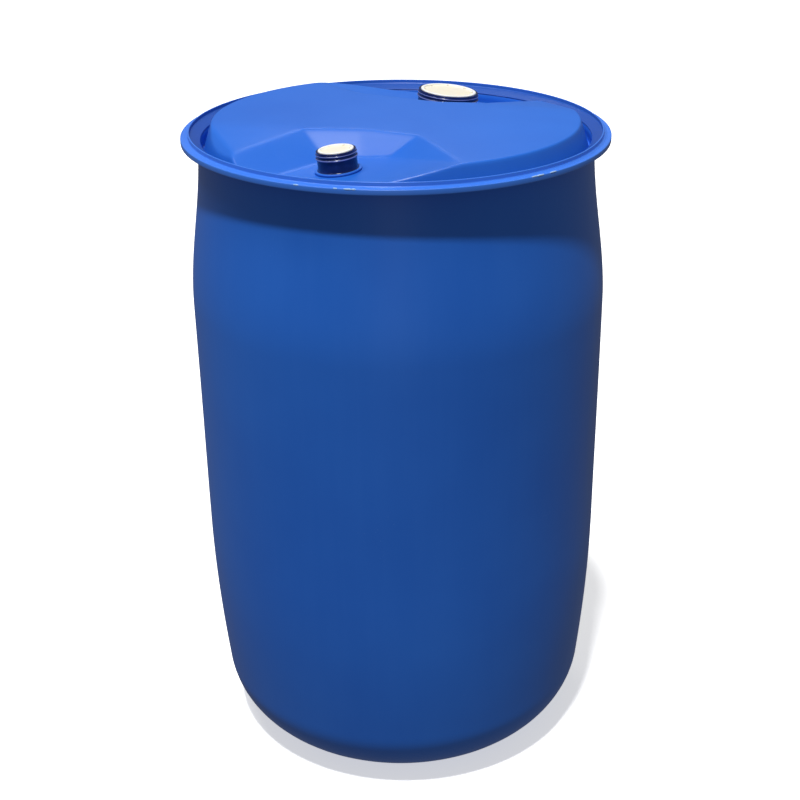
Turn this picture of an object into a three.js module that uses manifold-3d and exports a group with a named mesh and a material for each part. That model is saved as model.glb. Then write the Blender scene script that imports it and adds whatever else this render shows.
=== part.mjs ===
// Blow-moulded tight-head plastic drum with one L-shaped carrying ring, a large fill neck and
// a small vent neck, each closed by a gasketed screw plug. Millimetres, +Z up, origin on the
// floor at the middle of the base. -Y is the side with the vent neck.

import * as THREE from 'three';
import { mergeVertices } from 'three/addons/utils/BufferGeometryUtils.js';
import { ConvexGeometry } from 'three/addons/geometries/ConvexGeometry.js';
import Module from 'manifold-3d';

const wasm = await Module();
wasm.setup();

// ---- Driving dimensions ----------------------------------------------------------------

const DRUM_HEIGHT = 920; // floor to the lip of the carrying ring
const BODY_DIAMETER = 581; // widest part of the body
const WALL = 4; // moulded wall
const JOINT_GAP = 0.3; // between two pieces that touch

// Fits
const SPIGOT_CLEARANCE = 0.3;
const HEAD_CLEARANCE = 0.3;
const THREAD_CLEARANCE = 0.5;
const GASKET_THICKNESS = 2;
const GASKET_WIDTH_CLEARANCE = 0.4;
const THREAD_LEAD_IN = 3; // plain core between the gasket seat and the thread
const THREAD_RUN_OUT = 0.5; // turns of groove below the plug's thread
const PLUG_TAIL = 5; // plain core below the thread
const LUG_WIDTH = 3;
const LUG_LENGTH = 3.5;
const EDGE_CHAMFER = 0.6;

// Base
const BASE_DISH_RADIUS = 104;
const BASE_DISH_DEPTH = 6;
const BASE_DISH_SLOPE = 12; // width of the slope from the dish to the standing land
const BASE_CORNER_RADIUS = 106;
const BASE_CORNER_SWEEP = 87; // degrees of arc before the taper takes over
const BASE_TAPER_INSET = 12.6; // how much narrower the body is above the corner
const BASE_TAPER_TOP = 338; // height where the taper ends

// Shoulder, under the ring
const SHOULDER_LENGTH = 226; // height over which the body draws in to the waist
const WAIST_INSET = 22; // body radius to waist radius
const RIM_THICKNESS = 4; // standing rim that carries the ring

// Head
const PLATEAU_RISE = 10; // plateau edge above the ring's lip
const PLATEAU_CROWN = 3.5;
const HEAD_SIDE_RUN = 13; // width of the steep side round the plateau
const GUTTER_WIDTH = 2.5; // between the rim and the foot of the steep side
const GUTTER_DEPTH = 30; // ring's lip to the bottom of the gutter
const GUTTER_WALL = 8; // material under the gutter

// Carrying ring
const RING_OVERHANG = 22; // flange edge beyond the waist
const RING_FLANGE_HEIGHT = 7.2;
const RING_FLANGE_DROP = 6.3; // top of the flange below the lip
const RING_LIP_INSET = 10; // outside of the flange to the outside of the lip
const RING_LIP_WIDTH = 2;
const RING_LIP_DEPTH = 5; // upright inner face of the lip
const RING_CHANNEL_DIP = 0.6; // shallow channel between flange edge and lip
const RING_ROOT_RISE = 1; // from the channel up to the lip's foot, and at the inner edge
const RING_REBATE = 1; // step in the underside that the rim reaches into

// Necks: place of each neck on its pocket floor
const NECK_SETBACK = 86.5; // inside of the rim to the neck's floor point
const NECK_BEARING = -114.5; // degrees round from +X, for the vent neck
const NECK_FLOOR_DROP = 18.5; // pocket floor at the neck, below the ring's lip
const NECK_LEAN = 5.5; // degrees, sideways, away from the middle of the drum
const NECK_PAD_MARGIN = 3; // flat pad beyond the neck's flange
const NECK_FLARE_HEIGHT = 4; // flare between flange and barrel
const NECK_FLARE_OUT = 1; // flare's knee beyond the barrel
const NECK_FLARE_KNEE = 1.3; // flare's knee above the flange

// Pockets round the necks, drawn for the vent side and turned half round for the fill side.
// Each facet is a point on it, the way it falls, and how steeply. x and y count from the neck.
const POCKET_LEFT = { x: -50.8, y: 93, rise: 12.5, falls: -61.6, tilt: 31.4 };
const POCKET_BACK = { x: 27.8, y: 85, rise: 12.5, falls: -95.8, tilt: 39.7 };
const POCKET_SLOPE_END = -44.2; // x at which the long slope stops, inside the pocket
const POCKET_HEADROOM = 60; // how far the cutters reach above the ring's lip

// The long slope and the chamfer beside it start at one point near the plateau's edge.
const SHOULDER_BEARING = -172; // degrees round from +X
const SHOULDER_BEYOND = 1.5; // outside the plateau's edge
const SLOPE_FACET = { rise: 10, falls: -113.5, tilt: 7.9 };
const CHAMFER_FACET = { rise: 10, falls: -152.4, tilt: 43 };

const VENT = closureSizes({
  rotation: 0,
  side: { x: 27.8, y: 85, rise: 12.5, falls: -114.4, tilt: 42.2 }, // pocket facets
  right: { x: 101.8, y: 51.4, rise: 12.5, falls: -156.7, tilt: 32.1 },
  apron: { x: 149.8, y: -70, rise: 10, falls: 166.7, tilt: 12.4 },
  height: 27.5, // pocket floor to the mouth of the neck
  coreRadius: 19.6, // plug core, inside its thread
  coreWall: 2.8,
  threadRadius: 1.4, // round section of the thread
  pitch: 4,
  turns: 3,
  seatWidth: 3.6, // plug head beyond its core
  headThickness: 4.5,
  headProud: 1, // plug head above the mouth
  mouthWall: 1.7, // round the plug head
  flangeWidth: 4.8, // beyond the barrel
  flangeThickness: 2.4,
  spigotWall: 3, // outside the thread's groove
  spigotDepth: 9,
  recessBorder: 2.8,
  recessDepth: 1.4,
  lugs: 6,
  beads: [
    { drop: 3.9, proud: 1.1, halfWidth: 1 }, // below the mouth, beyond the barrel
    { drop: 8.9, proud: 1.7, halfWidth: 1.7 },
  ],
});

const FILL = closureSizes({
  rotation: Math.PI,
  side: { x: 27.8, y: 80, rise: 12.5, falls: -118, tilt: 42 },
  right: { x: 123.8, y: 29, rise: 12, falls: -142.3, tilt: 32 },
  apron: { x: 188.8, y: -55, rise: 10, falls: 166.7, tilt: 12.4 },
  height: 27.5,
  coreRadius: 35.8,
  coreWall: 3.4,
  threadRadius: 2.1,
  pitch: 6,
  turns: 2.5,
  seatWidth: 5,
  headThickness: 5,
  headProud: 1,
  mouthWall: 2.3,
  flangeWidth: 5.1,
  flangeThickness: 2.4,
  spigotWall: 4.1,
  spigotDepth: 9,
  recessBorder: 4,
  recessDepth: 1.8,
  lugs: 8,
  beads: [
    { drop: 4.3, proud: 1.2, halfWidth: 1.1 },
    { drop: 9.5, proud: 1.8, halfWidth: 1.8 },
  ],
});

// Fineness
const BODY_SEGMENTS = 48;
const NECK_SEGMENTS = 32;
const THREAD_SAG = 0.2; // how far a straight step of the thread may cut inside its curve
const THREAD_SIDES = 8;
const ARC_STEPS = 5;
const TAPER_STEPS = 3;
const SHOULDER_STEPS = 6;
const CROWN_STEPS = 2;

// ---- Worked-out sizes --------------------------------------------------------------------

const bodyRadius = BODY_DIAMETER / 2;
const waistRadius = bodyRadius - WAIST_INSET;
const ringRadius = waistRadius + RING_OVERHANG;
const rimInnerRadius = waistRadius - RIM_THICKNESS;
const gutterRadius = rimInnerRadius - GUTTER_WIDTH;
const plateauRadius = gutterRadius - HEAD_SIDE_RUN;
const ringBottom = DRUM_HEIGHT - RING_FLANGE_DROP - RING_FLANGE_HEIGHT;
const rimTop = ringBottom + RING_REBATE - JOINT_GAP;
const shoulderBottom = ringBottom - SHOULDER_LENGTH;
const gutterBottom = DRUM_HEIGHT - GUTTER_DEPTH;
const plateauHeight = DRUM_HEIGHT + PLATEAU_RISE;
const neckPlace = polar(rimInnerRadius - NECK_SETBACK, NECK_BEARING);
const shoulderPlace = polar(plateauRadius + SHOULDER_BEYOND, SHOULDER_BEARING);

/** Degrees to radians. */
function degrees(angle) {
  return THREE.MathUtils.degToRad(angle);
}

/** A point at a distance from the axis and a bearing in degrees round from +X. */
function polar(radius, bearing) {
  const angle = degrees(bearing);
  return { x: radius * Math.cos(angle), y: radius * Math.sin(angle) };
}

/** Adds the sizes of a neck and its plug that follow from one another. */
function closureSizes(sizes) {
  const headRadius = sizes.coreRadius + sizes.seatWidth;
  const barrelRadius = headRadius + HEAD_CLEARANCE + sizes.mouthWall;
  return {
    ...sizes,
    headRadius,
    barrelRadius,
    flangeRadius: barrelRadius + sizes.flangeWidth,
    spigotRadius: sizes.coreRadius + sizes.threadRadius + THREAD_CLEARANCE + sizes.spigotWall,
    recessRadius: headRadius - sizes.recessBorder,
    coreLength: THREAD_LEAD_IN + sizes.turns * sizes.pitch + PLUG_TAIL,
  };
}

// ---- Solid tools --------------------------------------------------------------------------

/** Turns a closed three.js geometry into a solid that can be cut and joined. */
function solid(geometry, matrix = new THREE.Matrix4()) {
  const bare = geometry.clone();
  bare.deleteAttribute('normal');
  bare.deleteAttribute('uv');
  bare.applyMatrix4(matrix);
  const merged = mergeVertices(bare, 1e-4);
  const index = merged.index.array;
  const triangles = [];
  for (let i = 0; i < index.length; i += 3) {
    const [a, b, c] = [index[i], index[i + 1], index[i + 2]];
    if (a !== b && b !== c && c !== a) triangles.push(a, b, c);
  }
  return new wasm.Manifold(
    new wasm.Mesh({
      numProp: 3,
      vertProperties: new Float32Array(merged.attributes.position.array),
      triVerts: new Uint32Array(triangles),
    }),
  );
}

/** Gives a solid back as a three.js geometry. */
function geometryOf(body) {
  const mesh = body.getMesh();
  const geometry = new THREE.BufferGeometry();
  geometry.setAttribute('position', new THREE.BufferAttribute(mesh.vertProperties, 3));
  geometry.setIndex(new THREE.BufferAttribute(mesh.triVerts, 1));
  return geometry;
}

/** Revolves an outline of [radius, height] points about +Z. It runs anticlockwise. */
function revolve(outline, segments) {
  const points = outline.map(([radius, height]) => new THREE.Vector2(radius, height));
  const geometry = new THREE.LatheGeometry(points, segments);
  geometry.rotateX(Math.PI / 2);
  return geometry;
}

/** A plain round cutter from one height to another. */
function roundBar(radius, bottom, top, segments) {
  const outline = [[0, bottom], [radius, bottom], [radius, top], [0, top]];
  return revolve(outline, segments);
}

/** The convex solid inside a set of planes, each { normal, point } with its normal outwards. */
function convexBody(planes) {
  const faces = planes.map(({ normal, point }) => (
    new THREE.Plane().setFromNormalAndCoplanarPoint(normal, point)
  ));
  const corners = [];
  for (let i = 0; i < faces.length; i += 1) {
    for (let j = i + 1; j < faces.length; j += 1) {
      for (let k = j + 1; k < faces.length; k += 1) {
        const corner = meetingPoint(faces[i], faces[j], faces[k]);
        const inside = corner && faces.every((face) => face.distanceToPoint(corner) < 1e-4);
        if (inside) corners.push(corner);
      }
    }
  }
  return solid(new ConvexGeometry(corners));
}

/** The point shared by three planes, or null where they have none. */
function meetingPoint(a, b, c) {
  const bc = b.normal.clone().cross(c.normal);
  const ca = c.normal.clone().cross(a.normal);
  const ab = a.normal.clone().cross(b.normal);
  const volume = a.normal.dot(bc);
  if (Math.abs(volume) < 1e-6) return null;
  const sum = bc.multiplyScalar(a.constant);
  sum.add(ca.multiplyScalar(b.constant)).add(ab.multiplyScalar(c.constant));
  return sum.divideScalar(-volume);
}

/** A whole number of even steps from 0 to 1, both ends included. */
function steps(count) {
  return Array.from({ length: count + 1 }, (_, i) => i / count);
}

// ---- Drum body ----------------------------------------------------------------------------

/** The side of the body from the base land to the waist, moved inwards by inset. */
function sideOutline(inset, top) {
  const taperRadius = bodyRadius - BASE_TAPER_INSET;
  const sweep = degrees(BASE_CORNER_SWEEP);
  const cornerAxis = taperRadius - BASE_CORNER_RADIUS * Math.sin(sweep);
  const arc = BASE_CORNER_RADIUS - inset;
  const corner = steps(ARC_STEPS).map((k) => [
    cornerAxis + arc * Math.sin(k * sweep),
    BASE_CORNER_RADIUS - arc * Math.cos(k * sweep),
  ]);
  const [, taperBottom] = corner[ARC_STEPS];
  const taper = steps(TAPER_STEPS).slice(1).map((k) => [
    bodyRadius - inset - BASE_TAPER_INSET * (1 - k) ** 2,
    THREE.MathUtils.lerp(taperBottom, BASE_TAPER_TOP, k),
  ]);
  const shoulder = steps(SHOULDER_STEPS).map((k) => [
    bodyRadius - inset - WAIST_INSET * THREE.MathUtils.smoothstep(k, 0, 1),
    THREE.MathUtils.lerp(shoulderBottom, rimTop, k),
  ]);
  return [...corner, ...taper, ...shoulder.filter(([, height]) => height < top)];
}

/** The dished base and its flat standing land, lifted by inset. */
function baseOutline(inset) {
  return [
    [0, BASE_DISH_DEPTH + inset],
    [BASE_DISH_RADIUS, BASE_DISH_DEPTH + inset],
    [BASE_DISH_RADIUS + BASE_DISH_SLOPE, inset],
  ];
}

/** The slightly crowned top of the head out to a radius, from the edge to the middle. */
function plateauOutline(radius, drop) {
  return steps(CROWN_STEPS).map((k) => [
    radius * (1 - k),
    plateauHeight - drop + PLATEAU_CROWN * (1 - (1 - k) ** 2),
  ]);
}

/** The body as one filled shape, without its pockets. */
function filledBody() {
  const outline = [
    ...baseOutline(0),
    ...sideOutline(0, rimTop),
    [waistRadius, rimTop],
    [rimInnerRadius, rimTop],
    [rimInnerRadius, gutterBottom],
    [gutterRadius, gutterBottom],
    ...plateauOutline(plateauRadius, 0),
  ];
  return solid(revolve(outline, BODY_SEGMENTS));
}

/** The space inside the body, without its pockets. */
function filledCavity() {
  const cavityTop = gutterBottom - GUTTER_WALL;
  const outline = [
    ...baseOutline(WALL),
    ...sideOutline(WALL, cavityTop),
    [waistRadius - WALL, cavityTop],
    [gutterRadius - WALL, gutterBottom - WALL],
    ...plateauOutline(plateauRadius - WALL, WALL),
  ];
  return solid(revolve(outline, BODY_SEGMENTS));
}

/** Where a neck stands: its floor point and outward lean, turned to its side of the drum. */
function neckMatrix(neck) {
  const hinge = new THREE.Vector3(0, -1, 0);
  const lean = new THREE.Quaternion().setFromAxisAngle(hinge, degrees(NECK_LEAN));
  const floor = new THREE.Vector3(neckPlace.x, neckPlace.y, DRUM_HEIGHT - NECK_FLOOR_DROP);
  const place = new THREE.Matrix4().compose(floor, lean, new THREE.Vector3(1, 1, 1));
  return new THREE.Matrix4().makeRotationZ(neck.rotation).multiply(place);
}

/** The underside plane of a cutter that leaves one facet, moved down by grow. */
function facetPlane(facet, place, grow) {
  const tilt = degrees(facet.tilt);
  const falls = degrees(facet.falls);
  const normal = new THREE.Vector3(
    -Math.sin(tilt) * Math.cos(falls),
    -Math.sin(tilt) * Math.sin(falls),
    -Math.cos(tilt),
  );
  const { x = 0, y = 0 } = facet;
  const point = new THREE.Vector3(place.x + x, place.y + y, DRUM_HEIGHT + facet.rise);
  return { normal, point: point.addScaledVector(normal, grow) };
}

/** Upright and level planes that close a cutter off beyond the drum. */
function outerPlanes() {
  const reach = BODY_DIAMETER;
  const axis = (x, y, z) => new THREE.Vector3(x, y, z);
  return [
    { normal: axis(1, 0, 0), point: axis(reach, 0, 0) },
    { normal: axis(-1, 0, 0), point: axis(-reach, 0, 0) },
    { normal: axis(0, 1, 0), point: axis(0, reach, 0) },
    { normal: axis(0, -1, 0), point: axis(0, -reach, 0) },
    { normal: axis(0, 0, 1), point: axis(0, 0, DRUM_HEIGHT + POCKET_HEADROOM) },
  ];
}

/** Everything that is taken out of the head round one neck. grow adds the wall for the cavity. */
function pocket(neck, grow) {
  const floor = { rise: -NECK_FLOOR_DROP, falls: 180, tilt: NECK_LEAN };
  const facets = [POCKET_LEFT, POCKET_BACK, neck.side, neck.right, neck.apron, floor];
  const well = convexBody([
    ...facets.map((facet) => facetPlane(facet, neckPlace, grow)),
    ...outerPlanes(),
  ]);
  const slopeEnd = {
    normal: new THREE.Vector3(1, 0, 0),
    point: new THREE.Vector3(neckPlace.x + POCKET_SLOPE_END + grow, 0, 0),
  };
  const slopePlane = facetPlane(SLOPE_FACET, shoulderPlace, grow);
  const slope = convexBody([slopePlane, slopeEnd, ...outerPlanes()]);
  const chamferPlane = facetPlane(CHAMFER_FACET, shoulderPlace, grow);
  const chamfer = convexBody([chamferPlane, ...outerPlanes()]);
  const insideRim = solid(roundBar(
    rimInnerRadius + grow,
    gutterBottom - POCKET_HEADROOM,
    DRUM_HEIGHT + 2 * POCKET_HEADROOM,
    BODY_SEGMENTS,
  ));
  const turned = new THREE.Matrix4().makeRotationZ(neck.rotation).elements.slice();
  const padRadius = neck.flangeRadius + NECK_PAD_MARGIN + grow;
  const pad = solid(roundBar(padRadius, -grow, POCKET_HEADROOM, NECK_SEGMENTS), neckMatrix(neck));
  return well.add(slope).add(chamfer).intersect(insideRim).transform(turned).add(pad);
}

/** The hollow moulded body, open at its two neck holes. */
function drumBody() {
  let outside = filledBody();
  let inside = filledCavity();
  for (const neck of [VENT, FILL]) {
    outside = outside.subtract(pocket(neck, 0));
    inside = inside.subtract(pocket(neck, WALL));
  }
  let shell = outside.subtract(inside);
  for (const neck of [VENT, FILL]) {
    const holeRadius = neck.spigotRadius + SPIGOT_CLEARANCE;
    const hole = roundBar(holeRadius, -neck.spigotDepth - WALL, WALL, NECK_SEGMENTS);
    shell = shell.subtract(solid(hole, neckMatrix(neck)));
  }
  return geometryOf(shell);
}

// ---- Carrying ring -------------------------------------------------------------------------

/** The ring welded on the rim: an outward flange with an upright lip. */
function carryingRing() {
  const flangeTop = ringBottom + RING_FLANGE_HEIGHT;
  const lipOutside = ringRadius - RING_LIP_INSET;
  const lipInside = lipOutside - RING_LIP_WIDTH;
  const outline = [
    [rimInnerRadius, ringBottom + RING_REBATE],
    [waistRadius + JOINT_GAP, ringBottom + RING_REBATE],
    [waistRadius + JOINT_GAP, ringBottom],
    [ringRadius, ringBottom],
    [ringRadius, flangeTop],
    [ringRadius - RING_LIP_INSET / 4, flangeTop],
    [ringRadius - RING_LIP_INSET / 2, flangeTop - RING_CHANNEL_DIP],
    [lipOutside, flangeTop + RING_ROOT_RISE],
    [lipOutside, DRUM_HEIGHT],
    [lipInside, DRUM_HEIGHT],
    [lipInside, DRUM_HEIGHT - RING_LIP_DEPTH],
    [rimInnerRadius, ringBottom + RING_REBATE + RING_ROOT_RISE],
    [rimInnerRadius, ringBottom + RING_REBATE],
  ];
  return revolve(outline, BODY_SEGMENTS);
}

// ---- Necks, plugs and gaskets: each about its own neck's axis, z = 0 on the pocket floor ----

/** Height of the ledge that the gasket sits on. */
function seatHeight(neck) {
  const headUnderside = neck.height + neck.headProud - neck.headThickness;
  return headUnderside - GASKET_THICKNESS - 2 * JOINT_GAP;
}

/** A right-handed round-section thread between two heights. It meets the seat's phase. */
function thread(neck, bottom, top, sectionRadius) {
  const turns = (top - bottom) / neck.pitch;
  const stepsPerTurn = Math.PI / Math.acos(1 - THREAD_SAG / neck.coreRadius);
  const seat = seatHeight(neck);
  class Helix extends THREE.Curve {
    getPoint(t, target = new THREE.Vector3()) {
      const height = THREE.MathUtils.lerp(bottom, top, t);
      const angle = (2 * Math.PI * (height - seat)) / neck.pitch;
      return target.set(
        neck.coreRadius * Math.cos(angle),
        neck.coreRadius * Math.sin(angle),
        height,
      );
    }
  }
  const section = new THREE.Shape(
    Array.from({ length: THREAD_SIDES }, (_, i) => {
      const angle = (2 * Math.PI * i) / THREAD_SIDES;
      return new THREE.Vector2(
        sectionRadius * Math.cos(angle),
        sectionRadius * Math.sin(angle),
      );
    }),
  );
  return new THREE.ExtrudeGeometry(section, {
    steps: Math.ceil(turns * stepsPerTurn),
    bevelEnabled: false,
    extrudePath: new Helix(),
  });
}

/** A threaded neck with its weld flange, sealing beads, plug mouth and seat. */
function neckPiece(neck) {
  const seat = seatHeight(neck);
  const bore = neck.coreRadius + THREAD_CLEARANCE;
  const mouth = neck.headRadius + HEAD_CLEARANCE;
  const flangeTop = JOINT_GAP + neck.flangeThickness;
  const upwards = [...neck.beads].sort((a, b) => b.drop - a.drop);
  const beads = upwards.flatMap(({ drop, proud, halfWidth }) => [
    [neck.barrelRadius, neck.height - drop - halfWidth],
    [neck.barrelRadius + proud, neck.height - drop - halfWidth / 2],
    [neck.barrelRadius + proud, neck.height - drop + halfWidth / 2],
    [neck.barrelRadius, neck.height - drop + halfWidth],
  ]);
  const outline = [
    [bore, -neck.spigotDepth],
    [neck.spigotRadius, -neck.spigotDepth],
    [neck.spigotRadius, JOINT_GAP],
    [neck.flangeRadius, JOINT_GAP],
    [neck.flangeRadius, flangeTop],
    [neck.barrelRadius + NECK_FLARE_OUT, flangeTop + NECK_FLARE_KNEE],
    [neck.barrelRadius, flangeTop + NECK_FLARE_HEIGHT],
    ...beads,
    [neck.barrelRadius, neck.height - EDGE_CHAMFER],
    [neck.barrelRadius - EDGE_CHAMFER, neck.height],
    [mouth, neck.height],
    [mouth, seat],
    [bore, seat],
    [bore, -neck.spigotDepth],
  ];
  const bottom = seat - THREAD_LEAD_IN - (neck.turns + THREAD_RUN_OUT) * neck.pitch;
  const top = seat + neck.pitch;
  const groove = thread(neck, bottom, top, neck.threadRadius + THREAD_CLEARANCE);
  return geometryOf(solid(revolve(outline, NECK_SEGMENTS)).subtract(solid(groove)));
}

/** A hollow screw plug with a shallow driving recess in its head. */
function plugPiece(neck) {
  const seat = seatHeight(neck);
  const headTop = neck.height + neck.headProud;
  const recessFloor = headTop - neck.recessDepth;
  const ceiling = recessFloor - neck.coreWall;
  const coreInside = neck.coreRadius - neck.coreWall;
  const coreBottom = seat - neck.coreLength;
  const outline = [
    [0, ceiling],
    [coreInside, ceiling],
    [coreInside, coreBottom],
    [neck.coreRadius, coreBottom],
    [neck.coreRadius, headTop - neck.headThickness],
    [neck.headRadius, headTop - neck.headThickness],
    [neck.headRadius, headTop - EDGE_CHAMFER],
    [neck.headRadius - EDGE_CHAMFER, headTop],
    [neck.recessRadius, headTop],
    [neck.recessRadius, recessFloor],
    [0, recessFloor],
  ];
  const top = seat - THREAD_LEAD_IN;
  const ridge = thread(neck, top - neck.turns * neck.pitch, top, neck.threadRadius);
  let plug = solid(revolve(outline, NECK_SEGMENTS)).add(solid(ridge));
  for (let i = 0; i < neck.lugs; i += 1) {
    const lug = new THREE.BoxGeometry(LUG_LENGTH, LUG_WIDTH, neck.recessDepth);
    const lugRadius = neck.recessRadius - LUG_LENGTH / 2 + EDGE_CHAMFER;
    const lugHeight = recessFloor + neck.recessDepth / 2 - EDGE_CHAMFER;
    lug.translate(lugRadius, 0, lugHeight);
    lug.rotateZ((2 * Math.PI * i) / neck.lugs);
    plug = plug.add(solid(lug));
  }
  return geometryOf(plug);
}

/** The flat ring gasket between the plug's head and the seat in the neck. */
function gasketPiece(neck) {
  const bottom = seatHeight(neck) + JOINT_GAP;
  const inner = neck.coreRadius + GASKET_WIDTH_CLEARANCE;
  const outer = neck.headRadius - GASKET_WIDTH_CLEARANCE;
  const outline = [
    [inner, bottom],
    [outer, bottom],
    [outer, bottom + GASKET_THICKNESS],
    [inner, bottom + GASKET_THICKNESS],
    [inner, bottom],
  ];
  return revolve(outline, NECK_SEGMENTS);
}

// ---- Assembly ------------------------------------------------------------------------------

const BLUE = { color: 0x1f50b0, roughness: 0.42, metalness: 0 };
const NAVY = { color: 0x0c1f52, roughness: 0.3, metalness: 0 };
const IVORY = { color: 0xf1ead6, roughness: 0.45, metalness: 0 };
const BLACK = { color: 0x17181a, roughness: 0.8, metalness: 0 };

/** A named piece with its own material. */
function piece(name, geometry, look) {
  const mesh = new THREE.Mesh(geometry, new THREE.MeshStandardMaterial(look));
  mesh.name = name;
  return mesh;
}

/** One neck with its plug and gasket, stood in its pocket. */
function closure(prefix, neck) {
  const group = new THREE.Group();
  group.add(
    piece(`${prefix}_neck`, neckPiece(neck), NAVY),
    piece(`${prefix}_plug_gasket`, gasketPiece(neck), BLACK),
    piece(`${prefix}_plug`, plugPiece(neck), IVORY),
  );
  group.applyMatrix4(neckMatrix(neck));
  return group;
}

const drum = new THREE.Group();
drum.add(
  piece('drum_body', drumBody(), BLUE),
  piece('carrying_ring', carryingRing(), BLUE),
  closure('fill', FILL),
  closure('vent', VENT),
);

export default drum;
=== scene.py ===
"""Blow-moulded plastic drum with a carrying ring, two necks and two screw plugs.

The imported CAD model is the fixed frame. Every size below is in millimetres and is turned into
metres when a mesh is made. The drum's axis is +Z, its base stands on z = 0, and -Y is the side
with the vent neck.
"""
import logging
import math
from dataclasses import dataclass, field
from enum import Enum
from typing import Any, Iterable, Sequence

import bmesh
import bpy
import numpy as np
from mathutils import Matrix, Vector


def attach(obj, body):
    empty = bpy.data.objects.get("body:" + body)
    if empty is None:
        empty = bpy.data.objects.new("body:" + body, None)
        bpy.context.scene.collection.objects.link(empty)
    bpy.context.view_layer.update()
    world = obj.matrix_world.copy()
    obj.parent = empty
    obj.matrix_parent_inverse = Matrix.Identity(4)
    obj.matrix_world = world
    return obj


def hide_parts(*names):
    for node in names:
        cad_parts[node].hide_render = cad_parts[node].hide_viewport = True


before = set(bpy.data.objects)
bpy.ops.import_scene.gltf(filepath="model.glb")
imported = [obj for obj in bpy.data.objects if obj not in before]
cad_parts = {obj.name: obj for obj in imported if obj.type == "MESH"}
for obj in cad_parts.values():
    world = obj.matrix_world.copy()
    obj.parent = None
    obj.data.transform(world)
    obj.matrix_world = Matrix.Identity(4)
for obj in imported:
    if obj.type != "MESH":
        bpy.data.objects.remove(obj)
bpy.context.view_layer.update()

LOG = logging.getLogger("drum")
MM = 0.001
FULL_TURN = 2 * math.pi
ON_AXIS = 1e-9
WELD_DISTANCE = 1e-7
MIX_SHARE, MIX_FIRST, MIX_SECOND, MIX_COLOUR = 0, 6, 7, 2
CREST_SHARPNESS = 1.6
THINNEST_SLIVER = (0.5, 0.8, 0.5)
LONGEST_SLIVER = (0.8, 4.5, 0.9)
Outline = list[tuple[float, float]]


# ---- Small tools ---------------------------------------------------------------------


def smooth_step(low: float, high: float, value: np.ndarray) -> np.ndarray:
    """A soft ramp from 0 at low to 1 at high."""
    share = np.clip((value - low) / (high - low), 0.0, 1.0)
    return share * share * (3.0 - 2.0 * share)


def smooth_max(first: np.ndarray, second: np.ndarray, blend: float) -> np.ndarray:
    """The larger of two heights, with the crease between them rounded over blend."""
    return 0.5 * (first + second + np.sqrt((first - second) ** 2 + blend * blend))


def smooth_min(first: np.ndarray, second: np.ndarray, blend: float) -> np.ndarray:
    """The smaller of two heights, with the edge between them rounded over blend."""
    return -smooth_max(-first, -second, blend)


def rounded(outline: Outline, radius: float, steps: int = 3, closed: bool = True) -> Outline:
    """Rounds the corners of an outline.

    Args:
        outline: corner points, without a repeated last point.
        radius: how far along each side a corner's curve starts.
        steps: number of segments in each corner.
        closed: whether the last point joins the first.

    Returns:
        The outline with each corner replaced by a short curve.
    """
    points = [Vector(point) for point in outline]
    count = len(points)
    result: Outline = []
    for index, corner in enumerate(points):
        if not closed and index in (0, count - 1):
            result.append(tuple(corner))
            continue
        before = points[index - 1] - corner
        after = points[(index + 1) % count] - corner
        reach = min(radius, 0.45 * before.length, 0.45 * after.length)
        start = corner + before.normalized() * reach
        end = corner + after.normalized() * reach
        for step in range(steps + 1):
            share = step / steps
            curve = start.lerp(corner, share).lerp(corner.lerp(end, share), share)
            result.append(tuple(curve))
    return result


def refined(outline: Outline, longest: float) -> Outline:
    """Splits the long sides of an open outline.

    Args:
        outline: points in order.
        longest: the longest side that is left.

    Returns:
        The outline with the points added.
    """
    result: Outline = [outline[0]]
    for start, end in zip(outline, outline[1:]):
        parts = max(1, math.ceil(math.dist(start, end) / longest))
        for part in range(1, parts + 1):
            share = part / parts
            result.append((
                start[0] + (end[0] - start[0]) * share,
                start[1] + (end[1] - start[1]) * share,
            ))
    return result


def grid_object(name: str, rows: Sequence[np.ndarray], loop: bool) -> bpy.types.Object:
    """Makes a closed mesh from rings of points.

    Args:
        name: the new object's name.
        rows: rings with the same number of points each, in millimetres. A ring of one
            point is a pole, and is only allowed first or last.
        loop: whether the last ring joins the first.

    Returns:
        The object, linked to the scene, at the origin.
    """
    work = bmesh.new()
    rings = [[work.verts.new(point * MM) for point in row] for row in rows]
    pairs = list(zip(rings, rings[1:]))
    if loop:
        pairs.append((rings[-1], rings[0]))
    for lower, upper in pairs:
        count = max(len(lower), len(upper))
        for i in range(count):
            j = (i + 1) % count
            if len(lower) == 1:
                corners = [lower[0], upper[j], upper[i]]
            elif len(upper) == 1:
                corners = [lower[i], lower[j], upper[0]]
            else:
                corners = [lower[i], lower[j], upper[j], upper[i]]
            work.faces.new(corners)
    bmesh.ops.recalc_face_normals(work, faces=work.faces[:])
    mesh = bpy.data.meshes.new(name)
    work.to_mesh(mesh)
    work.free()
    return linked(bpy.data.objects.new(name, mesh))


def linked(obj: bpy.types.Object) -> bpy.types.Object:
    """Links an object to the scene's collection and returns it."""
    bpy.context.scene.collection.objects.link(obj)
    return obj


def ring_of(radius: Any, height: Any, segments: int) -> np.ndarray:
    """Lays out a ring of points about +Z.

    Args:
        radius: one radius, or one for each point.
        height: one height, or one for each point.
        segments: number of points.

    Returns:
        The points, one in each row.
    """
    angle = np.arange(segments) * FULL_TURN / segments
    across = np.cos(angle) * radius
    along = np.sin(angle) * radius
    return np.stack([across, along, np.broadcast_to(height, angle.shape)], axis=1)


def turned(name: str, outline: Outline, segments: int) -> bpy.types.Object:
    """Revolves an outline about +Z.

    Args:
        name: the new object's name.
        outline: radius and height of each point: closed, or with both ends on the axis.
        segments: number of points round.

    Returns:
        The solid.
    """
    closed = abs(outline[0][0]) > ON_AXIS
    return grid_object(name, rings_of(outline, segments), loop=closed)


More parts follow.
